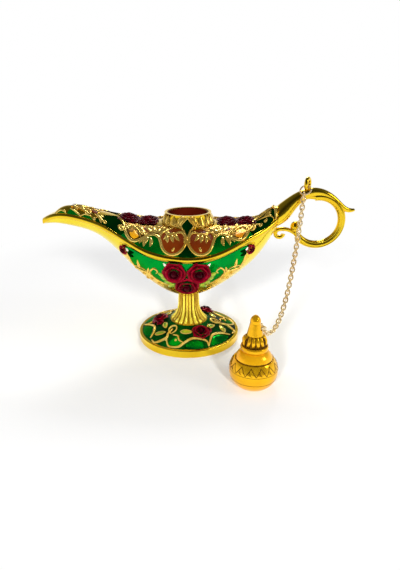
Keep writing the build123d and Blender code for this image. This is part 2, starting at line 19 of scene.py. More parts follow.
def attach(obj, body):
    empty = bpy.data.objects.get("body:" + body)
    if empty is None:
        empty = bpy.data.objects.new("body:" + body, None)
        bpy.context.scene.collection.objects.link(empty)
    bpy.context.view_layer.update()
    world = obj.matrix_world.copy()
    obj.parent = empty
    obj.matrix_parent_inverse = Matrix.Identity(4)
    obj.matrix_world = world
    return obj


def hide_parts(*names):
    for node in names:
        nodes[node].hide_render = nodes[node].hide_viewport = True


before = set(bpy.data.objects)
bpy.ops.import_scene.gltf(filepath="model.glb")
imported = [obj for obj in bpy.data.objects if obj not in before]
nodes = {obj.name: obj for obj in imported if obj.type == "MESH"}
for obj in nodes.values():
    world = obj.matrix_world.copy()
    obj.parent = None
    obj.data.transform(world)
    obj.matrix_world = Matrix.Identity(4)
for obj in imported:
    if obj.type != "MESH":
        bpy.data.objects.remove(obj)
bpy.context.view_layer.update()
MM = 0.001

# %% [markdown]
# ## Camera
# The photograph looks straight along the lamp's side and a little down on it. A camera with no roll
# and no turn is enough, so only its place, its pitch and its lens are set. The lens is worked out
# from the focal length in pixels, because the long side of the picture is 36 mm on the sensor.

# %% Camera
CAMERA_PLACE = Vector((5.02, -188.15, 95.7)) * MM
CAMERA_PITCH = math.radians(20.88)
FOCAL_PIXELS = 457.3
PICTURE_HEIGHT = 570
SENSOR_WIDTH = 36.0
NEAREST_SEEN = 0.005

camera_data = bpy.data.cameras.new("camera")
camera_data.sensor_width = SENSOR_WIDTH
camera_data.lens = camera_data.sensor_width * FOCAL_PIXELS / PICTURE_HEIGHT
camera_data.clip_start = NEAREST_SEEN
camera = bpy.data.objects.new("camera", camera_data)
camera.location = CAMERA_PLACE
camera.rotation_euler = (math.pi / 2 - CAMERA_PITCH, 0, 0)
scene = bpy.context.scene
scene.collection.objects.link(camera)
scene.camera = camera
scene.view_settings.view_transform = "Standard"
print("lens", round(camera_data.lens, 2), "mm")

# %% [markdown]
# ## Small tools for shaders
# A shader is a net of nodes, and wiring it link by link takes many lines. These helpers make a node, set its
# plain values straight on its sockets and link what comes from other nodes, so that the room, the floor and
# the finishes below read as short lists.


# %% Small tools for shaders
def feed(tree, socket, value):
    """Links the output of a node to a socket, or sets a plain value on the socket itself."""
    if isinstance(value, bpy.types.NodeSocket):
        tree.links.new(value, socket)
    else:
        socket.default_value = value


def add_node(tree, kind, inputs=None, **settings):
    """A shader node with its settings, and with its inputs fed by name or by number."""
    node = tree.nodes.new(kind)
    for name, value in settings.items():
        setattr(node, name, value)
    for key, value in (inputs or {}).items():
        feed(tree, node.inputs[key], value)
    return node


def reckon(tree, operation, first, second):
    """The outcome of a sum of two values, such as their product or the larger one."""
    return add_node(tree, "ShaderNodeMath", {0: first, 1: second}, operation=operation).outputs[0]


def grey_ramp(tree, value, stops):
    """A grey that follows a value, with stops given as (place, grey)."""
    node = add_node(tree, "ShaderNodeValToRGB", {"Fac": value})
    elements = node.color_ramp.elements
    while len(elements) < len(stops):
        elements.new(0.5)
    for element, (place, grey) in zip(elements, stops):
        element.position = place
        element.color = (grey, grey, grey, 1)
    return node.outputs["Color"]


def light_paths(tree):
    """The kinds of ray, and a value that is 1 where the camera looks, straight or through glass."""
    paths = tree.nodes.new("ShaderNodeLightPath").outputs
    return paths, reckon(tree, "MAXIMUM", paths["Is Camera Ray"], paths["Is Transmission Ray"])


WHITE = (1, 1, 1, 1)
print("shader tools are ready")

# %% [markdown]
# ## Studio: the room
# Polished gold shows whatever is around it, so the room matters more than the lamps do. A photographer
# would build it from white card and black card. Here the world does that job: for reflections it is white
# low down, at the sides and at the back, and dim in front, where the camera stands, and overhead. Faces that
# look down are bright lemon then, and faces that look up or forward go brown. The camera itself sees plain
# white, and the light that falls on things is a soft, even fill.

# %% Studio: the room
ROOM_FILL = 0.28
ROOM_BY_DEPTH = ((-0.95, 0.10), (-0.6, 0.25), (-0.2, 1.0), (1.0, 1.0))
ROOM_BY_HEIGHT = ((0.0, 1.0), (0.22, 0.80), (0.5, 0.16), (1.0, 0.06))


def mirror_level(tree, channel, stops):
    """A grey level over one part of the direction that a reflection looks in, from -1 to 1."""
    spread = add_node(tree, "ShaderNodeMapRange", {"Value": channel, "From Min": -1.0})
    return grey_ramp(tree, spread.outputs["Result"], [((place + 1) / 2, grey) for place, grey in stops])


world = bpy.data.worlds.new("room")
scene.world = world
world.use_nodes = True
tree = world.node_tree
tree.nodes.clear()
towards = tree.nodes.new("ShaderNodeTexCoord").outputs["Generated"]
ways = add_node(tree, "ShaderNodeSeparateXYZ", {0: towards}).outputs
by_depth = mirror_level(tree, ways["Y"], ROOM_BY_DEPTH)
by_height = mirror_level(tree, ways["Z"], ROOM_BY_HEIGHT)
walls = add_node(
    tree, "ShaderNodeMix", {"Factor": 1.0, "A": by_depth, "B": by_height},
    data_type="RGBA", blend_type="MULTIPLY",
)
paths, seen_direct = light_paths(tree)
mirrored_room = add_node(tree, "ShaderNodeBackground", {"Color": walls.outputs["Result"], "Strength": 1.0})
fill_light = add_node(tree, "ShaderNodeBackground", {"Color": WHITE, "Strength": ROOM_FILL})
white_ground = add_node(tree, "ShaderNodeBackground", {"Color": WHITE, "Strength": 1.0})
unseen = add_node(
    tree, "ShaderNodeMixShader",
    {"Fac": paths["Is Glossy Ray"], 1: fill_light.outputs[0], 2: mirrored_room.outputs[0]},
)
whole = add_node(
    tree, "ShaderNodeMixShader", {"Fac": seen_direct, 1: unseen.outputs[0], 2: white_ground.outputs[0]}
)
add_node(tree, "ShaderNodeOutputWorld", {"Surface": whole.outputs[0]})
print("room:", len(tree.nodes), "shader nodes")

# %% [markdown]
# ## Studio: the white sheet
# The lamp stands on a large white sheet. A plain white floor would go grey away from the lamps, and a glowing
# one would swallow the shadows. So the sheet is both: near the lamp it is matt white paper with a faint glow,
# which keeps the shadow, and further out it fades to plain white for the eye and for reflections.

# %% Studio: the white sheet
FLOOR_SIZE = 3.0
FLOOR_WHITE = 0.94
FLOOR_ROUGHNESS = 0.9
FLOOR_SHEEN = 0.1
FLOOR_GLOW = 0.05
SHADOW_MIDDLE = (0.005, 0.045, 0.0)
SHADOW_REACH = (0.10, 0.18)

edge = FLOOR_SIZE / 2
floor_mesh = bpy.data.meshes.new("floor")
corners = [(-edge, -edge, 0), (edge, -edge, 0), (edge, edge, 0), (-edge, edge, 0)]
floor_mesh.from_pydata(corners, [], [(0, 1, 2, 3)])
floor = bpy.data.objects.new("floor", floor_mesh)
scene.collection.objects.link(floor)
sheet = bpy.data.materials.new("white_sheet")
sheet.use_nodes = True
tree = sheet.node_tree
paper = tree.nodes["Principled BSDF"]
paper.inputs["Base Color"].default_value = (FLOOR_WHITE, FLOOR_WHITE, FLOOR_WHITE, 1)
paper.inputs["Roughness"].default_value = FLOOR_ROUGHNESS
paper.inputs["Specular IOR Level"].default_value = FLOOR_SHEEN
paths, seen_direct = light_paths(tree)
seen = reckon(tree, "MAXIMUM", seen_direct, paths["Is Glossy Ray"])
spot = tree.nodes.new("ShaderNodeTexCoord").outputs["Object"]
offset = add_node(tree, "ShaderNodeVectorMath", {0: spot, 1: SHADOW_MIDDLE}, operation="SUBTRACT")
distance = add_node(tree, "ShaderNodeVectorMath", {0: offset.outputs["Vector"]}, operation="LENGTH")
away = add_node(
    tree, "ShaderNodeMapRange",
    {"Value": distance.outputs["Value"], "From Min": SHADOW_REACH[0], "From Max": SHADOW_REACH[1]},
    interpolation_type="SMOOTHSTEP",
)
faded = reckon(tree, "MULTIPLY", away.outputs["Result"], seen)
near_strength = reckon(tree, "MULTIPLY", seen, FLOOR_GLOW)
near_glow = add_node(tree, "ShaderNodeEmission", {"Color": WHITE, "Strength": near_strength})
near_sheet = add_node(tree, "ShaderNodeAddShader", {0: paper.outputs[0], 1: near_glow.outputs[0]})
far_sheet = add_node(tree, "ShaderNodeEmission", {"Color": WHITE, "Strength": 1.0})
both = add_node(
    tree, "ShaderNodeMixShader", {"Fac": faded, 1: near_sheet.outputs[0], 2: far_sheet.outputs[0]}
)
tree.links.new(both.outputs[0], tree.nodes["Material Output"].inputs["Surface"])
floor_mesh.materials.append(sheet)
print("sheet:", FLOOR_SIZE, "m wide, white from", SHADOW_REACH[1], "m out")

# %% [markdown]
# ## Studio: soft lamps
# Two equal keys stand far off in front, left and right of the camera, and light the enamel evenly. They are
# hidden from reflections, because two bright squares in every bead of gold would give the set away. A weak
# lamp at the side puts small glints on the edges, and a lamp behind throws light on the rims and a soft
# shadow to the front.


# %% Studio: soft lamps
def softbox(name, where, target, width, height, power):
    """A soft lamp that faces a point."""
    data = bpy.data.lights.new(name, "AREA")
    data.shape = "RECTANGLE"
    data.size = width
    data.size_y = height
    data.energy = power
    lamp = bpy.data.objects.new(name, data)
    lamp.location = where
    lamp.rotation_euler = (Vector(target) - Vector(where)).to_track_quat("-Z", "Y").to_euler()
    scene.collection.objects.link(lamp)
    return lamp


LAMP_MIDDLE = (0.0, 0.0, 0.035)
for side, name in ((-1, "key_left"), (1, "key_right")):
    key = softbox(name, (side * 0.30, -0.95, 0.40), LAMP_MIDDLE, width=0.12, height=0.16, power=7.5)
    key.visible_glossy = False
softbox("side", (0.44, -0.16, 0.30), LAMP_MIDDLE, width=0.15, height=0.15, power=0.33)
softbox("back", (0.06, 0.42, 0.42), LAMP_MIDDLE, width=0.16, height=0.16, power=1.2)

# %% [markdown]
# ## A finish
# A finish could be one flat colour, but then casting and hand filling would not show. Each finish here mixes
# two near tones by slow noise, lets the gloss wander with fine noise, and can use the same fine noise as a
# bump. All of it is worked out from the place on the object, so it needs no picture and looks the same from
# every side. An edge colour tints the reflections at a slant, which keeps enamel from going grey.


# %% A finish
GLOSS_LOW, GLOSS_HIGH = 0.7, 1.4
COAT_ROUGHNESS = 0.04
BUMP_DEPTH = 0.0002
TONE_STOPS = ((0.35, 0.0), (0.65, 1.0))


def finish(name, colour, colour_far, roughness, metallic, coat=0.0, grain=90.0, bump=0.0, bump_scale=900.0,
           edge=None, specular=0.25):
    """A procedural finish: two tones mixed by slow noise, uneven gloss and a fine bump."""
    material = bpy.data.materials.new(name)
    material.use_nodes = True
    tree = material.node_tree
    spot = tree.nodes.new("ShaderNodeTexCoord").outputs["Object"]
    slow = add_node(tree, "ShaderNodeTexNoise", {"Vector": spot, "Scale": grain, "Detail": 3.0})
    fine = add_node(tree, "ShaderNodeTexNoise", {"Vector": spot, "Scale": bump_scale, "Detail": 2.0})
    share = grey_ramp(tree, slow.outputs["Fac"], TONE_STOPS)
    tones = {"Factor": share, "A": (*colour, 1), "B": (*colour_far, 1)}
    tone = add_node(tree, "ShaderNodeMix", tones, data_type="RGBA")
    gloss_range = {"To Min": roughness * GLOSS_LOW, "To Max": roughness * GLOSS_HIGH}
    gloss = add_node(tree, "ShaderNodeMapRange", {"Value": fine.outputs["Fac"], **gloss_range})
    shader = tree.nodes["Principled BSDF"]
    shader.inputs["Metallic"].default_value = metallic
    shader.inputs["Coat Weight"].default_value = coat
    shader.inputs["Coat Roughness"].default_value = COAT_ROUGHNESS
    if edge:
        shader.inputs["Specular Tint"].default_value = (*edge, 1)
        shader.inputs["Specular IOR Level"].default_value = specular
    tree.links.new(tone.outputs["Result"], shader.inputs["Base Color"])
    tree.links.new(gloss.outputs["Result"], shader.inputs["Roughness"])
    if bump:
        height = {"Height": fine.outputs["Fac"], "Strength": bump, "Distance": BUMP_DEPTH}
        relief = add_node(tree, "ShaderNodeBump", height)
        tree.links.new(relief.outputs["Normal"], shader.inputs["Normal"])
    return material


print("a finish needs two tones, a roughness and a share of metal")

# %% [markdown]
# ## Gold and steel
# The plating is one metal, but it reads differently on each piece: lemon on the hull, warmer on the lid, pale
# on the chain. Dull dark brown gold is painted shade: on the deck's shoulders among the scrolls, in the
# stem's hollows and in the hollows of the lid's cone. Plain metal would go black wherever it reflects the dim
# front of the room, so the pieces that stay bright in the photograph, such as the lid, the ribs and the
# vines, are metal in part only.

# %% Gold and steel
gold = finish("gold_plate", (0.95, 0.66, 0.03), (0.88, 0.56, 0.02), 0.15, 1.0, bump=0.06)
gold_hull = finish("hull_gold", (0.98, 0.80, 0.06), (0.94, 0.72, 0.04), 0.15, 1.0, bump=0.06)
gold_bright = finish(
    "filigree_gold", (0.99, 0.72, 0.17), (0.88, 0.52, 0.06), 0.17, 0.86, bump=0.10, bump_scale=1500.0
)
# A dark brown gold: painted shade on the deck's shoulders, the ground among the scrolls
gold_shoulder_shade = finish(
    "shoulder_painted_shade_gold", (0.50, 0.27, 0.03), (0.28, 0.12, 0.01), 0.34, 1.0, grain=300.0, bump=0.25
)
# A darker gold: painted shade in the stem's hollows between the ribs
gold_stem_shade = finish(
    "stem_hollow_painted_shade", (0.70, 0.44, 0.03), (0.46, 0.25, 0.015), 0.34, 0.8, grain=300.0, bump=0.25
)
gold_stippled = finish(
    "stippled_gold", (0.98, 0.70, 0.03), (0.88, 0.52, 0.01), 0.20, 1.0, bump=0.7, bump_scale=2200.0
)
gold_lid = finish("lid_gold", (0.92, 0.50, 0.008), (0.84, 0.40, 0.004), 0.14, 0.75, bump=0.04)
gold_dome = finish("lid_dome_gold", (1.0, 0.52, 0.008), (0.96, 0.42, 0.004), 0.18, 0.55)
gold_rib = finish("rib_gold", (1.0, 0.84, 0.08), (0.96, 0.74, 0.05), 0.18, 0.5)
gold_vine = finish("vine_gold", (0.90, 0.66, 0.16), (0.80, 0.48, 0.06), 0.22, 0.6, grain=300.0)
gold_chain = finish("chain_gold", (0.95, 0.80, 0.50), (0.88, 0.66, 0.36), 0.20, 0.85)
# A dull dark gold: the dark polish in the lid's cuts, and painted shade in the hollows of the lid's cone
engraving_and_hollow_shade = finish("engraving_and_painted_shade_gold", (0.30, 0.14, 0.01), (0.14, 0.05, 0.004), 0.45, 0.9, grain=700.0)
steel = finish("plain_steel", (0.60, 0.60, 0.60), (0.50, 0.50, 0.50), 0.30, 1.0)
print("metals:", len(bpy.data.materials), "materials with the sheet")

# %% [markdown]
# ## Enamel and rose paint
# Clear green enamel over bright metal is a tinted mirror, so the lighter greens are made as coloured metal:
# bright where they see the white room and deep where they do not. The dark green and the red-brown are nearly
# opaque, so they are plain colour with a soft gloss; the dark green is also painted shade on the deck's long
# panels, and the mouth's darker red-brown is painted shade inside the neck. The roses are painted red, with
# darker hearts that are painted shade deep among the petals. The pale enamel is a painted highlight on small
# leaf tips.

# %% Enamel and rose paint
GREEN_EDGE = (0.02, 0.30, 0.05)
BROWN_EDGE = (0.40, 0.12, 0.04)
ROSE_EDGE = (0.55, 0.05, 0.10)
green = finish("green_enamel", (0.0, 0.36, 0.03), (0.0, 0.22, 0.03), 0.18, 0.85, grain=120.0, edge=GREEN_EDGE)
green_deep = finish(
    "deep_green_enamel", (0.0, 0.23, 0.012), (0.0, 0.09, 0.006), 0.16, 0.7,
    coat=0.04, grain=160.0, edge=GREEN_EDGE,
)
green_foot = finish(
    "foot_green_enamel", (0.0, 0.10, 0.010), (0.0, 0.035, 0.004), 0.24, 0.6, grain=160.0, edge=GREEN_EDGE
)
# Near-black green: the lozenge, the middle spear and the bud leaves, and painted shade on the deck's two long
# panels
green_dark_and_shade = finish(
    "dark_green_and_painted_shade", (0.0, 0.014, 0.001), (0.0, 0.005, 0.001), 0.4, 0.0, edge=GREEN_EDGE, specular=0.0
)
red_brown = finish("red_brown_enamel", (0.13, 0.022, 0.002), (0.09, 0.012, 0.001), 0.4, 0.0, edge=BROWN_EDGE)
# The red-brown enamel made darker for the mouth: painted shade inside the neck
mouth_brown_and_shade = finish("mouth_enamel_painted_shade", (0.075, 0.006, 0.002), (0.05, 0.003, 0.001), 0.4, 0.0, edge=BROWN_EDGE)
amber = finish("amber_enamel", (0.88, 0.40, 0.005), (0.72, 0.22, 0.003), 0.25, 0.4, coat=0.1)
leaf_lime = finish("lime_enamel", (0.46, 0.52, 0.03), (0.18, 0.34, 0.015), 0.20, 0.5, coat=0.2, grain=400.0)
# Near-white enamel: a painted highlight on small leaf tips at the top of the bowl's panel
pale_highlight_enamel = finish("pale_highlight_enamel", (0.72, 0.72, 0.60), (0.58, 0.60, 0.44), 0.22, 0.1, coat=0.3, grain=500.0)
rose_red = finish(
    "rose_red", (0.27, 0.001, 0.014), (0.12, 0.0, 0.005), 0.26, 0.3, coat=0.08, grain=500.0, edge=ROSE_EDGE
)
# A near-black red for the inner petals and the heart bead: painted shade deep in the flower
rose_heart_shade = finish(
    "rose_heart_shade", (0.05, 0.0, 0.004), (0.02, 0.0, 0.002), 0.26, 0.3, coat=0.08, grain=500.0, edge=ROSE_EDGE
)
rose_dark = finish(
    "rose_maroon", (0.10, 0.001, 0.006), (0.03, 0.0, 0.002), 0.3, 0.2, coat=0.02, grain=500.0, edge=ROSE_EDGE
)
print("all finishes:", len(bpy.data.materials), "materials with the sheet")

# %% [markdown]
# ## Dress the solids
# Every solid of the frame gets the finish of its piece. The solids that later pieces stand in for are dressed
# too, so that no node is left in bare grey. A new material on the mesh is all that is needed: the shapes and
# the places stay as the frame gives them.


# %% Dress the solids
def dress(material, *names):
    """Sets one finish on CAD nodes."""
    for name in names:
        mesh = nodes[name].data
        mesh.materials.clear()
        mesh.materials.append(material)


link_names = sorted(name for name in nodes if name.startswith("chain_l"))
dress(gold, "foot", "rim_band", "deck", "neck_collar", "handle", "chain_eye")
dress(gold_hull, "bowl")
# The stem's solid shows only in the hollows, where its darker gold is painted shade
dress(gold_stem_shade, "stem")
dress(gold_lid, "lid_bulb", "lid_finial")
dress(gold_dome, "lid_dome")
# The cone's solid shows between its ribs, so its dark finish is painted shade in the hollows
dress(engraving_and_hollow_shade, "lid_cone")
dress(gold_chain, "top_ring", "lid_ring", *link_names)
dress(green_foot, "foot_enamel")
dress(green, "bowl_enamel_front", "bowl_enamel_back")
dress(green, "deck_enamel_green_front", "deck_enamel_green_back")
# The mouth takes the darker red-brown: painted shade inside the neck
dress(mouth_brown_and_shade, "neck_enamel")
dress(red_brown, "deck_enamel_red_front", "deck_enamel_red_back")
dress(rose_red, "bowl_roses_front", "bowl_roses_back", "bowl_buds_front", "bowl_buds_back", "foot_roses")
dress(rose_dark, "deck_roses_spout", "deck_roses_handle")
dress(steel, "base_screw", "base_washer", "lid_stud", "lid_nut")
print("dressed", sum(len(item.data.materials) > 0 for item in nodes.values()), "nodes")

# %% [markdown]
# ## A map of the lamp's skin
# Every ornament follows the curved body, so it helps to have a flat map of it. The solids come without one,
# so it is measured: rays cast from the front towards the lamp's long axis find the outer face at many places
# along the lamp, from under the bowl to the top of the deck. The arc from the rim, up over the deck or down
# under the bowl, is the second coordinate, so a place on the skin is (x, v) in millimetres, as on a paper
# pattern wrapped round the body.


# %% The rim's height along the lamp
def tree_over(*names):
    """One search tree over some CAD nodes."""
    points, faces = [], []
    for name in names:
        mesh = nodes[name].data
        first = len(points)
        points += [vertex.co.copy() for vertex in mesh.vertices]
        faces += [[first + index for index in face.vertices] for face in mesh.polygons]
    return BVHTree.FromPolygons(points, faces)


BAND_SLICE = 1.0
shell = tree_over("bowl", "deck")
band_points = np.array([vertex.co for vertex in nodes["rim_band"].data.vertices]) / MM
band_places = np.unique(np.round(band_points[:, 0]))
band_heights = []
for place in band_places:
    near = band_points[np.abs(band_points[:, 0] - place) < BAND_SLICE]
    band_heights.append((near[:, 2].min() + near[:, 2].max()) / 2)
lowest, highest = min(band_heights), max(band_heights)
print("rim:", len(band_heights), "heights, from", round(lowest, 1), "to", round(highest, 1), "mm")

# %% [markdown]
# ## Sections of the skin
# At each millimetre of length, rays come in every three degrees round the rim's middle. The points that they
# hit are spaced evenly again by arc length, so that the map keeps its measure where the body bulges. Reading
# the map between its points is a plain blend of the four nearest ones.

# %% Sections of the skin
SKIN_START, SKIN_END, SKIN_STEP = -58.0, 36.0, 1.0
ROUND_START, ROUND_END, ROUND_STEP = -87, 88, 3
ARC_REACH, ARC_STEP = 32.0, 0.4
RAY_START = 0.1
NORMAL_STEP = 0.6
# A place this far short of the map's end still has a neighbour to blend with
END_MARGIN = 1.001
skin_places = np.arange(SKIN_START, SKIN_END + SKIN_STEP, SKIN_STEP)
arc_places = np.arange(-ARC_REACH, ARC_REACH + ARC_STEP, ARC_STEP)
skin_rows = []
for x in skin_places:
    axis = Vector((x, 0, float(np.interp(x, band_places, band_heights)))) * MM
    row = []
    for angle in range(ROUND_START, ROUND_END, ROUND_STEP):
        outwards = Vector((0, -math.cos(math.radians(angle)), math.sin(math.radians(angle))))
        hit = shell.ray_cast(axis + outwards * RAY_START, -outwards)[0]
        if hit and (hit - axis).dot(outwards) > 0:
            row.append((angle, *(hit / MM)))
    row = np.array(row)
    steps = np.linalg.norm(np.diff(row[:, 1:], axis=0), axis=1)
    arc = np.concatenate([[0], np.cumsum(steps)])
    arc -= np.interp(0, row[:, 0], arc)
    skin_rows.append(np.stack([np.interp(arc_places, arc, row[:, 1 + side]) for side in range(3)], axis=1))
skin_grid = np.array(skin_rows)


def skin_spot(x, v):
    """Point of the front face at (x, v), in millimetres."""
    along = min(max((x - SKIN_START) / SKIN_STEP, 0), skin_grid.shape[0] - END_MARGIN)
    up = min(max((v + ARC_REACH) / ARC_STEP, 0), skin_grid.shape[1] - END_MARGIN)
    i, j = int(along), int(up)
    near = skin_grid[i, j] * (1 - up + j) + skin_grid[i, j + 1] * (up - j)
    far = skin_grid[i + 1, j] * (1 - up + j) + skin_grid[i + 1, j + 1] * (up - j)
    return Vector(near * (1 - along + i) + far * (along - i))


def skin(x, v):
    """Point of the front face at (x, v) and the face's normal there, in millimetres."""
    along = skin_spot(x + NORMAL_STEP, v) - skin_spot(x - NORMAL_STEP, v)
    up = skin_spot(x, v + NORMAL_STEP) - skin_spot(x, v - NORMAL_STEP)
    return skin_spot(x, v), along.cross(up).normalized()


print("skin map:", skin_grid.shape[0], "sections of", skin_grid.shape[1], "points")

# %% [markdown]
# ## Tools for cloison work: wires and beads
# A cloison is a flattened wire set along a line between two colours of enamel. A bevelled curve could draw
# it, but a curve knows nothing of the body below, so the wire would float or sink. The ribbon here is skinned
# ring by ring instead, and each ring stands on the map's own normal. Each tool takes a map, place_of, that
# turns a flat place into a point and a normal, so the same tools serve the body, the collar, the foot, the
# handle and the lid.


# %% Tools: paths and rings
def smooth_path(points, closed=False, steps=6):
    """A flowing path through a few flat places, by a cubic that passes through each of them."""
    points = [Vector((a, b)) for a, b in points]
    count = len(points)
    path = []
    for index in range(count if closed else count - 1):
        around = []
        for shift in (-1, 0, 1, 2):
            place = index + shift
            around.append(points[place % count] if closed else points[min(max(place, 0), count - 1)])
        a, b, c, d = around
        for step in range(steps):
            t = step / steps
            bend = (2 * a - 5 * b + 4 * c - d) * t * t + (3 * b - a - 3 * c + d) * t ** 3
            path.append(0.5 * (2 * b + (c - a) * t + bend))
    if not closed:
        path.append(points[-1])
    return path


def join_rings(mesh, rings, closed):
    """Skins a row of rings, and caps it if it is open."""
    pairs = list(zip(rings, rings[1:]))
    if closed:
        pairs.append((rings[-1], rings[0]))
    sides = len(rings[0])
    for near, far in pairs:
        for side in range(sides):
            following = (side + 1) % sides
            mesh.faces.new((near[side], near[following], far[following], far[side]))
    if not closed:
        mesh.faces.new(list(reversed(rings[0])))
        mesh.faces.new(rings[-1])


print("a path flows through its places, and rings are skinned in a row")

# %% Tools: ribbons and beads
RIBBON_SIDES = 8
TAPER_SHARE = 0.35
BEAD_RINGS, BEAD_SIDES = 6, 9


def ribbon_along(mesh, path, half_width, rise, lift, ends=(1, 1), closed=False, place_of=skin, widths=None):
    """Adds a flattened wire along a dense flat path; ends, or widths along it, give its size as a share."""
    spots = [place_of(place.x, place.y) for place in path]
    count = len(spots)
    rings = []
    for index, (point, normal) in enumerate(spots):
        before = spots[index - 1][0] if closed or index else point
        after = spots[(index + 1) % count][0] if closed or index < count - 1 else point
        heading = (after - before).normalized()
        across = normal.cross(heading).normalized()
        share = index / (count - 1)
        swell = widths[index] if widths else 1.0
        if not closed and not widths:
            growing = ends[0] + (1 - ends[0]) * share / TAPER_SHARE
            fading = ends[1] + (1 - ends[1]) * (1 - share) / TAPER_SHARE
            swell = min(1.0, growing, fading)
        ring = []
        for side in range(RIBBON_SIDES):
            turn = 2 * math.pi * side / RIBBON_SIDES
            up = normal * (lift + math.sin(turn) * rise * swell)
            ring.append(mesh.verts.new((point + up + across * math.cos(turn) * half_width * swell) * MM))
        rings.append(ring)
    join_rings(mesh, rings, closed)


def ribbon(mesh, places, half_width=0.42, rise=0.45, lift=0.25, ends=(0.45, 0.45), place_of=skin):
    """Adds a flattened wire through a few flat places."""
    ribbon_along(mesh, smooth_path(places), half_width, rise, lift, ends, place_of=place_of)


def bead(mesh, point, radius):
    """Adds a small ball."""
    grid = []
    for ring in range(1, BEAD_RINGS):
        fall = math.pi * ring / BEAD_RINGS
        row = []
        for side in range(BEAD_SIDES):
            turn = 2 * math.pi * side / BEAD_SIDES
            out = Vector((math.sin(fall) * math.cos(turn), math.sin(fall) * math.sin(turn), math.cos(fall)))
            row.append(mesh.verts.new((point + out * radius) * MM))
        grid.append(row)
    top = mesh.verts.new((point + Vector((0, 0, radius))) * MM)
    foot = mesh.verts.new((point - Vector((0, 0, radius))) * MM)
    for side in range(BEAD_SIDES):
        following = (side + 1) % BEAD_SIDES
        mesh.faces.new((top, grid[0][side], grid[0][following]))
        mesh.faces.new((foot, grid[-1][following], grid[-1][side]))
        for near, far in zip(grid, grid[1:]):
            mesh.faces.new((near[side], far[side], far[following], near[following]))


print("ribbons have", RIBBON_SIDES, "sides and beads", BEAD_RINGS * BEAD_SIDES, "faces")

# %% [markdown]
# ## Tools for cloison work: curls, enamel and leaves
# A volute is a ribbon wound into a curl with a bead at its heart. A cell is a patch of enamel cut to an
# outline. A grid cut by the outline would leave a stepped edge, so the patch is triangulated from the outline
# and a few points inside, and it dips a little at its edge, as enamel does under its wires. A blade is a leaf
# with a grooved ridge.


# %% Tools: curls and enamel
CURL_STEPS = 20
CURL_CLOSING = 0.72
CURL_ENDS = (0.5, 0.9)
HEART_SIZE = 1.5
MERGE_DISTANCE = 1e-4


def volute(mesh, centre, radius, start, turns, half_width=0.3, rise=0.4, lift=0.3, place_of=skin):
    """Adds a curl: a ribbon that winds in to a bead. Negative turns wind the other way."""
    steps = int(abs(turns) * CURL_STEPS)
    path = []
    for step in range(steps + 1):
        share = step / steps
        reach = radius * (1 - CURL_CLOSING * share)
        turn = math.radians(start) + 2 * math.pi * turns * share
        path.append(Vector((centre[0] + reach * math.cos(turn), centre[1] + reach * math.sin(turn))))
    ribbon_along(mesh, path, half_width, rise, lift, CURL_ENDS, place_of=place_of)
    point, normal = place_of(path[-1].x, path[-1].y)
    bead(mesh, point + normal * lift, half_width * HEART_SIZE)


def cell(mesh, places, lift, place_of=skin, spacing=0.8, steps=5, dome=0.12, tone=0):
    """Adds a patch of enamel inside an outline of flat places, a little lower at its edge."""
    outline = smooth_path(places, True, steps)
    low = Vector((min(p.x for p in outline), min(p.y for p in outline)))
    high = Vector((max(p.x for p in outline), max(p.y for p in outline)))
    inside = []
    for i in range(1, int((high.x - low.x) / spacing) + 1):
        for j in range(1, int((high.y - low.y) / spacing) + 1):
            inside.append(Vector((low.x + i * spacing, low.y + j * spacing)))
    count = len(outline)
    edges = [(i, (i + 1) % count) for i in range(count)]
    cut = delaunay_2d_cdt(outline + inside, edges, [list(range(count))], 1, MERGE_DISTANCE)
    flat, _, faces, origins, *_ = cut
    made = []
    for place, sources in zip(flat, origins):
        point, normal = place_of(place.x, place.y)
        drop = dome if any(index < count for index in sources) else 0.0
        made.append((mesh.verts.new((point + normal * (lift - drop)) * MM), normal))
    for face in faces:
        corners = [made[index][0] for index in face]
        normal = (corners[1].co - corners[0].co).cross(corners[2].co - corners[0].co)
        if normal.dot(made[face[0]][1]) < 0:
            corners.reverse()
        mesh.faces.new(corners).material_index = tone
    for vertex, _ in made:
        if not vertex.link_faces:
            mesh.verts.remove(vertex)


print("curls close to", round(1 - CURL_CLOSING, 2), "of their radius")

# %% Tools: leaves and round wire
BLADE_STEPS = 8
BLADE_ACROSS = (-1.0, -0.5, 0.0, 0.5, 1.0)
BLADE_GROOVE = 0.3
BLADE_FULLNESS = 0.8
WIRE_SIDES = 6


def blade(mesh, root, tip, half_width, rise=0.55, lift=0.3, bow=0.0, place_of=skin):
    """Adds a ridged leaf between two flat places; bow bends it sideways. Gives back its rows of points."""
    root, tip = Vector(root), Vector(tip)
    sideways = Vector((-(tip - root).y, (tip - root).x)).normalized()
    rows = []
    for step in range(BLADE_STEPS + 1):
        share = step / BLADE_STEPS
        width = half_width * math.sin(math.pi * share ** BLADE_FULLNESS) ** BLADE_FULLNESS
        middle = root.lerp(tip, share) + sideways * bow * math.sin(math.pi * share)
        row = []
        for side in BLADE_ACROSS:
            point, normal = place_of(*(middle + sideways * side * width))
            crest = lift + rise * (1 - side * side) * width / half_width - BLADE_GROOVE * rise * (side == 0)
            row.append(mesh.verts.new((point + normal * crest) * MM))
        rows.append(row)
    for near, far in zip(rows, rows[1:]):
        for side in range(len(BLADE_ACROSS) - 1):
            mesh.faces.new((near[side + 1], near[side], far[side], far[side + 1]))
    return rows


def rim_of(rows):
    """The outline of a blade, as points in millimetres."""
    return [row[0].co / MM for row in rows] + [row[-1].co / MM for row in reversed(rows[1:-1])]


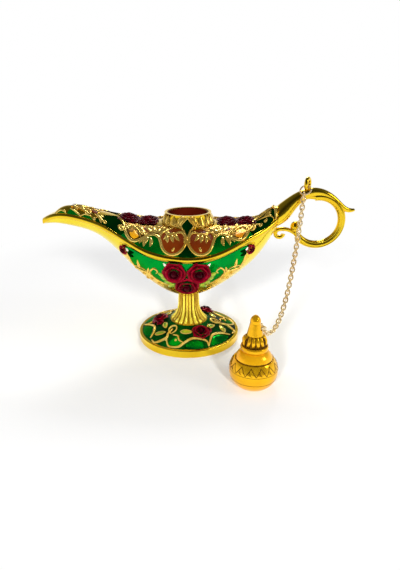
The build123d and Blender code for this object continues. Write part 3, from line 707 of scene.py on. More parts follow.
def wire_round(mesh, points, radius):
    """Adds a thin closed round wire through points in space."""
    count = len(points)
    rings = []
    side_way = (points[1] - points[-1]).orthogonal().normalized()
    for index, point in enumerate(points):
        heading = (points[(index + 1) % count] - points[index - 1]).normalized()
        side_way = (side_way - heading * side_way.dot(heading)).normalized()
        other = heading.cross(side_way)
        ring = []
        for side in range(WIRE_SIDES):
            turn = 2 * math.pi * side / WIRE_SIDES
            out = side_way * math.cos(turn) + other * math.sin(turn)
            ring.append(mesh.verts.new((point + out * radius) * MM))
        rings.append(ring)
    join_rings(mesh, rings, True)


print("a leaf has", BLADE_STEPS * (len(BLADE_ACROSS) - 1), "faces")

# %% [markdown]
# ## From mesh to piece
# The back of the lamp mirrors the front. A mirror modifier would do it too, but a copy made in the mesh keeps
# each piece plain. The same call turns the mesh into an object, gives it its finishes, and ties it to the
# body that carries it, so that it moves with the lamp or with the lid.


# %% From mesh to piece
def make_piece(name, mesh, materials, body="lamp", mirrored=False):
    """Turns a mesh into a smooth piece that rides on a body, with a mirror copy at the back if wanted."""
    if mirrored:
        copy = bmesh.ops.duplicate(mesh, geom=mesh.verts[:] + mesh.edges[:] + mesh.faces[:])["geom"]
        flipped = [item for item in copy if isinstance(item, bmesh.types.BMFace)]
        for vertex in [item for item in copy if isinstance(item, bmesh.types.BMVert)]:
            vertex.co.y = -vertex.co.y
        bmesh.ops.reverse_faces(mesh, faces=flipped)
    data = bpy.data.meshes.new(name)
    mesh.to_mesh(data)
    mesh.free()
    for material in materials:
        data.materials.append(material)
    data.shade_smooth()
    piece = bpy.data.objects.new(name, data)
    scene.collection.objects.link(piece)
    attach(piece, body)
    print(name, len(data.polygons), "faces")
    return piece


def flip(place, half):
    """A flat place of the right half, or its mirror image on the left half."""
    return (half * place[0], place[1])


def halves(places, half):
    """Flat places of the right half, or their mirror image on the left half."""
    return [flip(place, half) for place in places]


print("pieces ride on the lamp unless they are told otherwise")

# %% [markdown]
# ## Deck: green enamel
# Green enamel runs along the rim from the spout to the handle. The keyhole-shaped cells in the middle are
# a deep green, and the two long panels at the spout and at the handle are painted nearly black, which is
# painted shade where they look up.
# One sheet with painted borders would need a picture, so each is its own cell on the skin, and the gold
# ribbons laid later close their edges.

# %% Deck: outlines of the green cells
KEYHOLE_GROUND = [
    (-24.2, 1.0), (-16.0, 1.0), (-8.0, 1.0), (0.0, 1.0), (8.0, 1.0), (16.0, 1.0), (24.2, 1.0), (24.6, 4.6),
    (20.0, 6.4), (14.0, 9.6), (10.0, 10.4), (5.0, 9.8), (0.0, 9.6), (-5.0, 9.8), (-10.0, 10.4), (-14.0, 9.6),
    (-20.0, 6.4), (-24.6, 4.6),
]
SPOUT_PANEL = [
    (-37.6, 1.1), (-36.2, 3.2), (-35.4, 5.6), (-33.4, 8.0), (-31.2, 10.4), (-29.4, 12.4), (-28.0, 10.6),
    (-26.2, 8.2), (-25.0, 5.4), (-24.4, 1.1), (-28.0, 1.0), (-33.0, 1.0),
]
HANDLE_PANEL = [
    (24.4, 1.1), (28.0, 1.0), (32.0, 1.1), (34.6, 1.6), (35.6, 4.4), (35.4, 7.0), (32.4, 9.6), (29.0, 11.4),
    (27.2, 9.2), (25.2, 5.8),
]
SPOUT_CELLS = (
    [(-53.4, 0.9), (-51.4, 1.9), (-49.4, 1.3), (-50.6, 0.8)],
    [(-49.0, 1.0), (-47.8, 3.2), (-46.2, 2.8), (-43.4, 1.1), (-46.0, 0.9)],
    [(-43.0, 1.0), (-41.6, 2.0), (-39.6, 2.6), (-38.2, 1.1), (-40.6, 0.9)],
)
RIM_CORNER = [(22.6, 1.0), (25.8, 1.0), (24.6, 3.2), (23.2, 3.0)]
MIDDLE_SPEAR = [(-3.6, 1.3), (0.0, 1.2), (3.6, 1.3), (1.5, 4.2), (0.0, 6.8), (-1.5, 4.2)]
print("keyhole ground:", len(KEYHOLE_GROUND), "places on its outline")

# %% Deck: green enamel
GROUND_LIFT, OVERLAY_LIFT = 0.28, 0.34
SMALL_SPACING = 0.6
# The dark tone is painted shade on the two long panels, and plain dark green on the middle spear
DEEP, DARK_AND_SHADE, LIGHT = 0, 1, 2
mesh = bmesh.new()
cell(mesh, KEYHOLE_GROUND, GROUND_LIFT, tone=DEEP)
cell(mesh, SPOUT_PANEL, GROUND_LIFT, tone=DARK_AND_SHADE)
cell(mesh, HANDLE_PANEL, GROUND_LIFT, tone=DARK_AND_SHADE)
for outline in SPOUT_CELLS:
    cell(mesh, outline, GROUND_LIFT, spacing=SMALL_SPACING, tone=DEEP)
for half in (-1, 1):
    cell(mesh, halves(RIM_CORNER, half), OVERLAY_LIFT, spacing=SMALL_SPACING, tone=LIGHT)
cell(mesh, MIDDLE_SPEAR, OVERLAY_LIFT, tone=DARK_AND_SHADE)
deck_green = make_piece(
    "deck_green_enamel", mesh, [green_deep, green_dark_and_shade, green], mirrored=True
)
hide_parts("deck_enamel_green_front", "deck_enamel_green_back")

# %% [markdown]
# ## Deck: red-brown lobes and the gold shoulder
# Two lobes of red-brown enamel hang beside the middle, and a strip of the same colour climbs from each to
# the neck. The shoulders outside them are a dark brown gold, which is painted shade on the ground among the
# scrolls, so that the bright scrolls stand out. Amber fills a drop on each shoulder. Cutting holes for each
# colour in the one below would be exact but slow, so they are whole cells like the green ones, and a cell
# that lies over another is lifted a little higher.

# %% Deck: red-brown lobes and the gold shoulder
LOBE = [
    (0.4, 8.6), (0.7, 6.2), (1.8, 4.0), (3.6, 2.3), (6.0, 1.7), (8.0, 2.2), (9.4, 3.8), (10.1, 6.2),
    (10.2, 8.6), (9.6, 11.2), (7.6, 13.4), (5.2, 15.8), (3.0, 16.2), (2.2, 13.6), (1.0, 11.2),
]
SHOULDER = [
    (24.6, 5.2), (23.4, 3.0), (21.8, 2.0), (20.0, 2.4), (18.0, 4.3), (15.2, 7.0), (12.7, 9.2), (10.6, 9.0),
    (9.9, 11.4), (7.9, 13.8), (5.6, 16.6), (8.0, 17.8), (14.0, 16.2), (19.0, 13.6), (24.0, 11.2), (26.0, 8.4),
]
SHOULDER_SPOT = [(14.0, 12.4), (15.6, 13.2), (17.4, 11.8), (16.6, 10.2), (14.6, 10.6)]
AMBER_DROP = [(21.6, 3.0), (22.6, 4.8), (21.4, 5.8), (20.8, 7.4), (19.8, 6.2), (18.8, 5.2), (20.2, 3.2)]
SPOUT_SPOT = [(-39.8, 7.2), (-37.4, 7.4), (-36.8, 6.0), (-38.4, 5.0)]
# The shoulder tone is painted shade on the ground among the scrolls
BROWN, SHOULDER_SHADE, AMBER = 0, 1, 2
mesh = bmesh.new()
for half in (-1, 1):
    cell(mesh, halves(LOBE, half), lift=0.40, tone=BROWN)
    cell(mesh, halves(SHOULDER, half), lift=0.34, tone=SHOULDER_SHADE)
    cell(mesh, halves(SHOULDER_SPOT, half), lift=0.46, spacing=SMALL_SPACING, tone=BROWN)
    cell(mesh, halves(AMBER_DROP, half), lift=0.52, tone=AMBER)
cell(mesh, SPOUT_SPOT, lift=0.4, spacing=0.5, tone=BROWN)
deck_red = make_piece("deck_red_enamel", mesh, [red_brown, gold_shoulder_shade, amber], mirrored=True)
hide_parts("deck_enamel_red_front", "deck_enamel_red_back")

# %% [markdown]
# ## Deck: gold filigree
# The filigree is cast in one with the deck: a scalloped ribbon along the rim, volutes at its ends, the
# outlines and scrolls of the two lobes, leaf sprays on the shoulders, and curls at the spout and at the
# handle's root. A bump in the material would look flat against the light, so all of it is real ribbon, volute
# and blade on the skin map. Three cells build up one mesh, and the right half is drawn once.

# %% Deck: the scalloped ribbon and the lobes
RIBBON = [
    (24.6, 5.4), (23.5, 2.9), (21.8, 1.8), (20.0, 2.3), (18.0, 4.2), (15.6, 7.2), (13.2, 9.2), (11.2, 8.6),
    (10.2, 6.4), (9.4, 3.8), (8.0, 2.2), (6.0, 1.7), (3.6, 2.3), (1.8, 4.0), (0.7, 6.0), (0.0, 8.4),
]
RIBBON_CURL = (26.0, 4.6)
LOBE_LINES = (
    ([(10.2, 6.4), (10.3, 8.8), (9.6, 11.2), (7.5, 13.6), (5.0, 16.6)], 0.42),
    ([(1.0, 6.8), (0.8, 10.0), (2.0, 12.4), (3.8, 12.2), (5.2, 10.6)], 0.66),
    ([(3.6, 12.0), (6.0, 11.2), (8.0, 9.4), (9.0, 7.2)], 0.56),
)
LOBE_BLADES = (
    ((4.4, 11.4), (2.8, 7.6), 0.85, 0.5), ((5.6, 10.8), (5.2, 6.6), 0.85, 0.4),
    ((7.2, 9.8), (7.4, 6.0), 0.75, 0.3), ((6.4, 11.0), (9.0, 11.6), 0.7, 0.0),
    ((5.6, 2.8), (4.6, 4.8), 0.5, 0.0),
)
filigree = bmesh.new()
scallops = halves(RIBBON, -1) + list(reversed(RIBBON))[1:]
ribbon(filigree, scallops, half_width=0.62, rise=0.5, lift=0.3, ends=(1, 1))
for half in (-1, 1):
    curl = flip(RIBBON_CURL, half)
    start = 180 if half > 0 else 0
    volute(filigree, curl, radius=1.7, start=start, turns=-1.4 * half, half_width=0.36, rise=0.5, lift=0.4)
    for places, width in LOBE_LINES:
        ribbon(filigree, halves(places, half), width, rise=0.65, lift=0.4, ends=(0.5, 0.25))
    for root, tip, width, bow in LOBE_BLADES:
        blade(filigree, flip(root, half), flip(tip, half), width, rise=0.75, lift=0.42, bow=bow * half)
print("ribbon and lobes:", len(filigree.faces), "faces")

# %% Deck: shoulder sprays
SPRAYS = (
    ((14.8, 7.0), (16.6, 1.7), 0.85, 0.5), ((15.6, 6.6), (18.4, 2.2), 0.75, 0.5),
    ((14.0, 7.2), (14.2, 2.6), 0.7, -0.4), ((16.0, 9.2), (19.8, 8.2), 0.75, 0.3),
    ((16.8, 10.0), (20.6, 10.6), 0.75, 0.2), ((12.6, 10.2), (10.6, 14.8), 0.9, 0.4),
    ((12.9, 10.4), (13.4, 15.6), 0.9, 0.0), ((13.6, 10.2), (16.8, 14.6), 0.85, -0.4),
    ((11.0, 12.6), (8.2, 16.8), 0.8, 0.3), ((22.4, 7.2), (24.9, 9.9), 0.75, 0.3),
    ((21.4, 8.0), (21.2, 12.0), 0.8, 0.2), ((18.2, 9.4), (18.6, 13.4), 0.75, 0.2),
    ((10.4, 10.8), (8.6, 13.2), 0.6, 0.2), ((22.8, 6.2), (25.6, 7.4), 0.6, 0.2),
)
SHOULDER_CURLS = (
    ((11.9, 14.6), 1.3, 270, 1.2), ((9.5, 14.6), 1.1, 200, -1.1), ((15.0, 14.2), 1.1, 90, 1.1),
    ((17.6, 8.3), 1.1, 250, 1.2), ((23.4, 8.4), 1.0, 60, -1.1), ((19.6, 12.2), 1.1, 180, 1.1),
    ((12.6, 11.9), 0.9, 30, -1.1), ((16.4, 8.0), 0.8, 120, 1.0),
)
DROP_FRAME = [(24.6, 5.6), (23.4, 8.4), (21.4, 9.6), (19.2, 8.6), (18.2, 5.6)]
for half in (-1, 1):
    for root, tip, width, bow in SPRAYS:
        blade(filigree, flip(root, half), flip(tip, half), width, rise=0.6, lift=0.38, bow=bow * half)
    for centre, radius, start, turns in SHOULDER_CURLS:
        facing = start if half > 0 else 180 - start
        volute(filigree, flip(centre, half), radius, facing, turns * half, half_width=0.3, rise=0.5, lift=0.4)
    ribbon(filigree, halves(DROP_FRAME, half), half_width=0.36, rise=0.5, lift=0.4)
print("with the sprays:", len(filigree.faces), "faces")

# %% Deck: curls of the spout and of the handle's root
SPOUT_LINES = (
    ([(-47.8, 3.5), (-45.8, 2.7), (-43.0, 1.2)], 0.42), ([(-37.8, 4.6), (-35.6, 3.8), (-33.2, 2.4)], 0.46),
    ([(-29.4, 12.8), (-26.4, 9.8), (-24.6, 5.6)], 0.50),
    ([(-46.6, 4.6), (-44.2, 5.2), (-41.6, 4.2), (-39.2, 3.2)], 0.40),
    ([(-53.6, 1.0), (-51.6, 2.2), (-49.2, 1.2)], 0.28), ([(-43.4, 1.1), (-41.4, 2.4), (-38.6, 2.6)], 0.30),
)
SPOUT_CURLS = (
    ((-43.2, 6.3), 0.9, 0, 1.1), ((-40.4, 5.6), 0.9, 180, -1.1), ((-40.8, 3.2), 0.8, 90, 1.1),
    ((-37.3, 1.9), 0.7, 60, 1.0), ((-33.0, 2.6), 0.8, 120, -1.1), ((-45.4, 4.4), 0.7, 200, 1.0),
    ((-50.3, 2.0), 0.5, 0, 1.0),
)
ROOT_LINES = (
    ([(35.6, 8.0), (35.9, 4.4), (35.4, 1.0)], 0.62),
    ([(26.0, 9.8), (28.4, 11.6), (31.4, 11.0), (35.4, 8.4)], 0.44),
    ([(28.6, 9.6), (31.2, 7.3), (33.6, 4.4), (34.6, 2.2)], 0.40),
    ([(31.2, 7.3), (32.8, 7.6), (34.4, 6.6)], 0.34),
    ([(26.2, 8.6), (27.6, 6.2), (29.4, 4.8)], 0.36),
)
ROOT_CURLS = (((29.6, 3.9), 0.9, 90, 1.1), ((31.6, 4.2), 0.8, 60, -1.1), ((33.4, 5.6), 0.7, 0, 1.0))
SPOUT_BLADES = (
    ((-36.0, 4.4), (-33.6, 5.2), 0.5), ((-35.6, 3.6), (-34.2, 1.4), 0.5), ((-42.0, 4.6), (-44.0, 7.2), 0.6),
    ((-40.6, 4.4), (-38.6, 4.0), 0.5), ((-45.8, 5.4), (-48.0, 5.2), 0.5), ((-38.8, 6.8), (-36.6, 8.6), 0.5),
)
for places, width in SPOUT_LINES + ROOT_LINES:
    ribbon(filigree, places, width, rise=0.45, lift=0.34)
for centre, radius, start, turns in SPOUT_CURLS + ROOT_CURLS:
    volute(filigree, centre, radius, start, turns, half_width=0.28, rise=0.42, lift=0.34)
for root, tip, width in SPOUT_BLADES:
    blade(filigree, root, tip, width, rise=0.45, lift=0.32)
make_piece("deck_filigree", filigree, [gold_bright], mirrored=True)

# %% [markdown]
# ## Neck collar
# The collar is a flared ring cast with petals, and a dark green lozenge in a gold frame marks the front and
# the back. Petals could be pulled out of the ring itself, but the solid stays as the frame gives it, so they
# are blades laid on it. Their map unrolls the collar: the way round it from the front, then the height, found
# by a level ray towards the axis. The lozenge hangs over the collar's lower edge onto the deck, so it has
# a map of its own that looks straight from the front at both.

# %% Neck collar: maps
collar_tree = tree_over("neck_collar")
front_tree = tree_over("neck_collar", "deck")
COLLAR_RADIUS = 11.0
# Rays start this far out, in millimetres
OUTSIDE = 40
TO_BACK = Vector((0, 1, 0))


def collar(around, height):
    """Point and normal of the collar at a way round it and a height, in millimetres."""
    bearing = -math.pi / 2 + around / COLLAR_RADIUS
    out = Vector((math.cos(bearing), math.sin(bearing), 0))
    hit = collar_tree.ray_cast((out * OUTSIDE + Vector((0, 0, height))) * MM, -out)
    return hit[0] / MM, hit[1]


def front_face(x, z):
    """Point and normal of the collar or the deck under it, seen from the front, in millimetres."""
    hit = front_tree.ray_cast(Vector((x, -OUTSIDE, z)) * MM, TO_BACK)
    return hit[0] / MM, hit[1]


print("collar: front at y", round(collar(0, 53)[0].y, 1), "mm")

# %% Neck collar: petals and lozenge
LOZENGE = [
    (0.0, 49.6), (1.1, 51.2), (2.1, 52.7), (1.1, 54.2), (0.0, 55.8), (-1.1, 54.2), (-2.1, 52.7), (-1.1, 51.2),
]
LOZENGE_FRAME = [(0.0, 49.2), (1.2, 51.0), (2.4, 52.7), (1.2, 54.4), (0.0, 56.1)]
FRONT_LEAF = ((1.3, 56.2), (4.2, 52.2))
LEAF_EDGE = [(1.0, 56.3), (2.8, 56.2), (3.9, 54.6), (3.4, 52.8), (2.6, 52.0)]
PETALS, FIRST_PETAL, PETAL_PITCH = 3, 6.4, 3.4
PETAL_FOOT, PETAL_TOP = 51.9, 56.4
PETAL_CURL = (1.6, 53.0)
mesh = bmesh.new()
for half in (-1, 1):
    frame_edge = halves(LOZENGE_FRAME, half)
    ribbon(mesh, frame_edge, half_width=0.36, rise=0.5, lift=0.5, ends=(1, 1), place_of=front_face)
    root, tip = halves(FRONT_LEAF, half)
    blade(mesh, root, tip, half_width=1.3, rise=0.9, lift=0.2, bow=0.5 * half, place_of=collar)
    ribbon(mesh, halves(LEAF_EDGE, half), half_width=0.42, rise=0.6, lift=0.3, place_of=collar)
    for number in range(PETALS):
        middle = half * (FIRST_PETAL + PETAL_PITCH * number)
        foot, top = (middle, PETAL_FOOT), (middle, PETAL_TOP)
        blade(mesh, foot, top, half_width=1.5, rise=0.8, lift=0.15, place_of=collar)
        curl = (middle - half * PETAL_CURL[0], PETAL_CURL[1])
        volute(mesh, curl, radius=0.9, start=90, turns=1.1 * half, rise=0.45, place_of=collar)
make_piece("collar_petals", mesh, [gold_bright], mirrored=True)
mesh = bmesh.new()
cell(mesh, LOZENGE, lift=0.75, place_of=front_face, spacing=0.5, steps=2)
make_piece("collar_lozenge", mesh, [green_dark_and_shade], mirrored=True)

# %% [markdown]
# ## Bowl: panel, wires and stippled ground
# The flank of the bowl has a green panel under the rim. Below it the gold is punched with fine stipple,
# and wires with curls and little spikes close the panel's lower edge. Thousands of modelled dents would be
# slow and too fine to see, so the stipple is a patch of its own with a rough bump, and the smooth gold of the
# hull starts where the punching stops.

# %% Bowl: stippled ground and panel
PANEL_FOOT = [
    (24.6, -3.0), (22.9, -5.6), (21.9, -8.6), (20.2, -10.3), (17.6, -9.7), (15.0, -8.9), (12.6, -10.8),
    (7.0, -13.0),
]
STIPPLE_FOOT = [(27.0, -2.6), (24.8, -7.8), (20.8, -13.4), (14.0, -17.8), (7.0, -20.8)]
PANEL_TOP = [(22.0, -1.5), (12.0, -1.5), (0.0, -1.4), (-12.0, -1.5), (-22.0, -1.5)]
STIPPLE_OVERLAP = 1.4
panel_edge = halves(PANEL_FOOT, -1) + list(reversed(PANEL_FOOT))
stipple_edge = halves(STIPPLE_FOOT, -1) + list(reversed(STIPPLE_FOOT))
under_panel = [(x, v + STIPPLE_OVERLAP) for x, v in reversed(panel_edge)]
mesh = bmesh.new()
cell(mesh, stipple_edge + under_panel, lift=0.14, spacing=1.1, dome=0.1)
make_piece("bowl_stippled_ground", mesh, [gold_stippled], mirrored=True)
mesh = bmesh.new()
cell(mesh, panel_edge + PANEL_TOP, lift=0.40)
panel = make_piece("bowl_green_enamel", mesh, [green], mirrored=True)
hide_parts("bowl_enamel_front", "bowl_enamel_back")

# %% Bowl: wires
PANEL_HOOK = [(12.5, -11.2), (13.9, -10.4), (14.3, -7.8), (12.7, -5.4), (11.3, -6.4), (12.0, -7.6)]
PANEL_ARC = [(14.8, -8.9), (17.0, -7.9), (19.6, -8.6), (21.4, -10.2)]
LONG_SPIKE = ((18.8, -9.6), (19.3, -4.8))
SHORT_SPIKE = ((15.4, -9.0), (14.9, -6.2))
HULL_CURLS = (
    (20.8, -11.6, 0.55), (17.6, -12.2, 0.5), (14.4, -12.8, 0.5), (16.2, -15.0, 0.45), (11.6, -14.6, 0.5),
)
HULL_CURL_SPREAD = 1.6
mesh = bmesh.new()
for half in (-1, 1):
    ribbon(mesh, halves(PANEL_FOOT, half), half_width=0.36, rise=0.45, lift=0.35, ends=(0.6, 0.8))
    ribbon(mesh, halves(PANEL_HOOK, half), half_width=0.42, rise=0.5, lift=0.4)
    blade(mesh, *halves(LONG_SPIKE, half), half_width=0.6, rise=0.5, lift=0.4)
    blade(mesh, *halves(SHORT_SPIKE, half), half_width=0.45, rise=0.4, lift=0.4)
    ribbon(mesh, halves(PANEL_ARC, half), half_width=0.26, rise=0.4, lift=0.4)
    for x, v, radius in HULL_CURLS:
        reach = radius * HULL_CURL_SPREAD
        curl = flip((x, v), half)
        volute(mesh, curl, reach, start=90, turns=half, half_width=0.2, rise=0.3, lift=0.2)
make_piece("bowl_wires", mesh, [gold_bright], mirrored=True)

# %% [markdown]
# ## Roses
# Each rose is built as a real one grows: petals in rings, tight and upright in the heart, open and
# rolled at the outside. A displaced ball would only hint at that, so one petal is a small curved grid, loops
# set the petals of a ring, and rings of different size and finish make the flower. A bead fills the heart.

# %% A rose
PETAL_STEPS = 6
PETAL_OVERLAP = 1.35
PETAL_WIDTH, PETAL_SWELL = 0.55, 0.45
SWELL_START, SWELL_LENGTH = 0.25, 1.6
RING_TWIST = 0.35
ROLL_START, ROLL_DEPTH = 0.75, 0.55
EDGE_DROOP, EDGE_SPREAD = 0.22, 0.06
HEART_HEIGHT, HEART_RADIUS = 0.45, 0.3
# Each ring: how many petals, where they start and end outwards, how high they rise, and how they cup
ROSE_RINGS = (
    (3, 0.06, 0.24, 0.98, 0.50),
    (4, 0.16, 0.46, 0.92, 0.58),
    (5, 0.32, 0.74, 0.74, 0.62),
    (6, 0.52, 1.00, 0.44, 0.66),
)


def petal(mesh, ring, middle, place_petal, tone):
    """Adds one petal of a ring at a bearing; place_petal turns a bearing, reach and height into a point."""
    count, foot, lip, rise, cup = ROSE_RINGS[ring]
    spread = PETAL_OVERLAP * math.pi / count
    grid = []
    for up in range(PETAL_STEPS + 1):
        share = up / PETAL_STEPS
        phase = math.pi * min(share + SWELL_START, 1.0) / SWELL_LENGTH
        widening = PETAL_WIDTH + PETAL_SWELL * math.sin(phase)
        roll = max(share - ROLL_START, 0) * ROLL_DEPTH
        row = []
        for step in range(PETAL_STEPS + 1):
            across = 2 * step / PETAL_STEPS - 1
            bearing = middle + across * spread * widening
            reach = foot + (lip - foot) * share ** cup + EDGE_SPREAD * across * across * (ring - 1)
            top = rise * math.sin(share * math.pi / 2) - EDGE_DROOP * across * across * share - roll
            row.append(mesh.verts.new(place_petal(bearing, reach, top)))
        grid.append(row)
    for near, far in zip(grid, grid[1:]):
        for step in range(PETAL_STEPS):
            face = mesh.faces.new((near[step], near[step + 1], far[step + 1], far[step]))
            face.material_index = tone


# With the default tones the two inner rings and the heart bead take the first finish, which on the bowl and
# foot roses is the painted shade of the heart
def rose(mesh, seat, facing, radius, height, turn=0.0, tones=(0, 0, 1, 1)):
    """Adds a rose of four rings of petals on a seat, in millimetres, facing along a direction."""
    facing = facing.normalized()
    side_way = facing.orthogonal().normalized()
    other = facing.cross(side_way)

    def place_petal(bearing, reach, top):
        """Point of a petal, in metres, from shares of the rose's radius and height."""
        out = side_way * math.cos(bearing) + other * math.sin(bearing)
        return (seat + facing * (height * top) + out * (radius * reach)) * MM

    for ring, (count, *_) in enumerate(ROSE_RINGS):
        for number in range(count):
            middle = turn + 2 * math.pi * (number + 0.5 * (ring % 2)) / count + RING_TWIST * ring
            petal(mesh, ring, middle, place_petal, tones[ring])
    first = len(mesh.faces)
    bead(mesh, seat + facing * height * HEART_HEIGHT, radius * HEART_RADIUS)
    mesh.faces.ensure_lookup_table()
    for index in range(first, len(mesh.faces)):
        mesh.faces[index].material_index = tones[0]


print("a rose has", sum(ring[0] for ring in ROSE_RINGS), "petals")

# %% [markdown]
# ## Roses of the bowl
# Three red roses sit close together on each flank, and a small bud closes each end of the green panel. Copies
# of one finished flower would all turn the same face to the eye, so each is built afresh on the skin's own
# normal, and the three have turns of their own.

# %% Roses of the bowl
BOWL_ROSE, BOWL_ROSE_HEIGHT, BOWL_ROSE_LIFT = 4.5, 2.4, 0.4
# Each rose: its place on the skin, its size as a share, and its turn
BOWL_ROSES = ((-4.8, -5.4, 1.0, 0.2), (4.6, -5.4, 1.0, 1.1), (-0.1, -12.0, 1.05, 0.6))
BUD_PLACE, BUD_LIFT = (24.9, -4.0), 0.3
mesh = bmesh.new()
for x, v, size, turn in BOWL_ROSES:
    seat, normal = skin(x, v)
    rose(mesh, seat + normal * BOWL_ROSE_LIFT, normal, BOWL_ROSE * size, BOWL_ROSE_HEIGHT, turn)
hull_roses = make_piece("bowl_rose_petals", mesh, [rose_heart_shade, rose_red], mirrored=True)
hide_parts("bowl_roses_front", "bowl_roses_back")
mesh = bmesh.new()
for half in (-1, 1):
    seat, normal = skin(*flip(BUD_PLACE, half))
    rose(mesh, seat + normal * BUD_LIFT, normal, radius=2.1, height=1.5, turn=0.4)
hull_buds = make_piece("bowl_bud_petals", mesh, [rose_heart_shade, rose_red], mirrored=True)
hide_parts("bowl_buds_front", "bowl_buds_back")

# %% [markdown]
# ## Leaves of the bowl's roses
# Lime leaves spread from under the roses, dark ones lie beside the buds, and small leaf tips at the top of
# the panel are near white, which is a painted highlight. They could be cells of enamel, but the real ones
# stand up with a ridge, so all of them are blades. One helper makes each kind as a piece of its own.

# %% Leaves of the bowl's roses
ROSE_LEAVES = (
    ((7.6, -8.2), (11.6, -7.2), 1.1), ((7.0, -9.2), (10.4, -9.4), 1.1), ((6.2, -10.2), (9.2, -12.4), 1.2),
    ((4.8, -11.4), (7.6, -14.6), 1.2),
)
# The pale tips are near white as a painted highlight
HIGHLIGHT_TIPS = (((7.6, -3.4), (9.0, -1.9), 0.5), ((22.6, -3.2), (23.6, -2.2), 0.45))
BUD_LEAVES = (((23.2, -4.6), (20.6, -4.4), 0.8), ((23.0, -3.4), (20.4, -2.4), 0.7))


def leaf_piece(name, leaves, material, rise, lift):
    """Makes a piece of leaves, given on the right half and mirrored to the left and to the back."""
    mesh = bmesh.new()
    for half in (-1, 1):
        for root, tip, width in leaves:
            blade(mesh, flip(root, half), flip(tip, half), width, rise, lift)
    make_piece(name, mesh, [material], mirrored=True)


leaf_piece("bowl_rose_leaves", ROSE_LEAVES, leaf_lime, rise=0.8, lift=0.4)
leaf_piece("bowl_highlight_tips", HIGHLIGHT_TIPS, pale_highlight_enamel, rise=0.6, lift=0.6)
leaf_piece("bowl_bud_leaves", BUD_LEAVES, green_dark_and_shade, rise=0.6, lift=0.45)

# %% [markdown]
# ## Roses on the ridge
# On top of the deck, dark roses with small ones round them stand in a row, two on the spout's side of the
# neck and two on the handle's side. The map of the skin covers one flank only, and these sit on the ridge
# between the two, so their seats are found by rays from straight above.

# %% Roses on the ridge
RIDGE_ROSES = (-24.4, -16.4, 16.3, 24.2)
# Each rose of a cluster: its place across the ridge and along it, and its radius
RIDGE_CLUSTER = ((0, 0, 4.1), (-3.6, 1.6, 2.4), (3.6, 1.6, 2.4), (-3.4, -2.2, 2.2), (3.4, -2.2, 2.2))
RIDGE_ROSE_HEIGHT, RIDGE_ROSE_TURN = 0.62, 0.7
OVERHEAD = 90
DOWN = Vector((0, 0, -1))
deck_tree = tree_over("deck")
mesh = bmesh.new()
for number, x in enumerate(RIDGE_ROSES):
    for across, forward, radius in RIDGE_CLUSTER:
        hit = deck_tree.ray_cast(Vector((x + forward, across, OVERHEAD)) * MM, DOWN)
        turn = RIDGE_ROSE_TURN * number + across
        rose(mesh, hit[0] / MM, hit[1], radius, RIDGE_ROSE_HEIGHT * radius, turn, tones=(0, 0, 0, 0))
ridge_roses = make_piece("deck_rose_petals", mesh, [rose_dark])
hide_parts("deck_roses_spout", "deck_roses_handle")

# %% [markdown]
# ## Foot
# The foot's slope is a cone of dark green enamel. Gold vines swing over it in three equal sectors, each with
# a red rose, a bud, leaf-shaped gems in gold rims and brighter green where a vine closes an arc. A map like
# the body's would be more than a cone needs, so this one is plain: a place in plan, dropped straight down.

# %% Foot: map
foot_tree = tree_over("foot_enamel", "foot", "stem")
FOOT_EDGE = 20.9
ABOVE_FOOT = 12.0


def foot_skin(x, y):
    """Point and normal on the foot under a place in plan, in millimetres."""
    reach = math.hypot(x, y)
    inside = min(reach, FOOT_EDGE) / reach
    hit = foot_tree.ray_cast(Vector((x * inside, y * inside, ABOVE_FOOT)) * MM, DOWN)
    return hit[0] / MM, hit[1]


def polar(places, turn):
    """Places in plan from distances and bearings in degrees, turned about the axis."""
    plan = []
    for reach, bearing in places:
        way = math.radians(bearing + turn)
        plan.append((reach * math.cos(way), reach * math.sin(way)))
    return plan


print("foot: edge at z", round(foot_skin(FOOT_EDGE, 0.0)[0].z, 1), "mm")

# %% Foot: vines, gems, enamel and roses
FOOT_SECTORS = 3
LONG_VINE = [
    (18.1, -120), (20.4, -113), (20.1, -102), (18.0, -96), (15.6, -85), (15.9, -73), (17.8, -64), (20.5, -65),
]
VINES = (
    ([(20.4, -140), (20.6, -132), (16.8, -124), (14.3, -127), (11.5, -126)], 0.60),
    (LONG_VINE, 0.60),
    ([(20.5, -65), (16.6, -54), (15.7, -45), (17.2, -32), (20.0, -25)], 0.60),
    ([(14.0, -121), (13.7, -127), (12.1, -133), (10.2, -132), (9.8, -122), (11.8, -117), (14.0, -121)], 0.38),
    ([(14.4, -117), (14.5, -108), (16.6, -103), (17.9, -95)], 0.40),
    ([(16.8, -124), (18.1, -120)], 0.46),
    ([(14.3, -127), (18.2, -122)], 0.34),
)
VINE_BEAD = (16.8, -108)
GEMS = (((12.1, -106), (12.1, -82), 1.05), ((11.2, -43), (12.4, -23), 0.95), ((17.6, -26), (14.2, -14), 0.9))
BRIGHT_CELLS = (
    [(18.6, -117), (20.2, -110), (19.8, -102), (17.6, -97), (15.4, -104), (15.4, -112)],
    [(20.2, -60), (17.4, -54), (16.5, -46), (17.8, -34), (20.0, -30), (20.8, -45)],
    [(19.8, -92), (20.8, -82), (20.6, -72), (17.8, -70), (16.4, -80), (17.6, -90)],
)
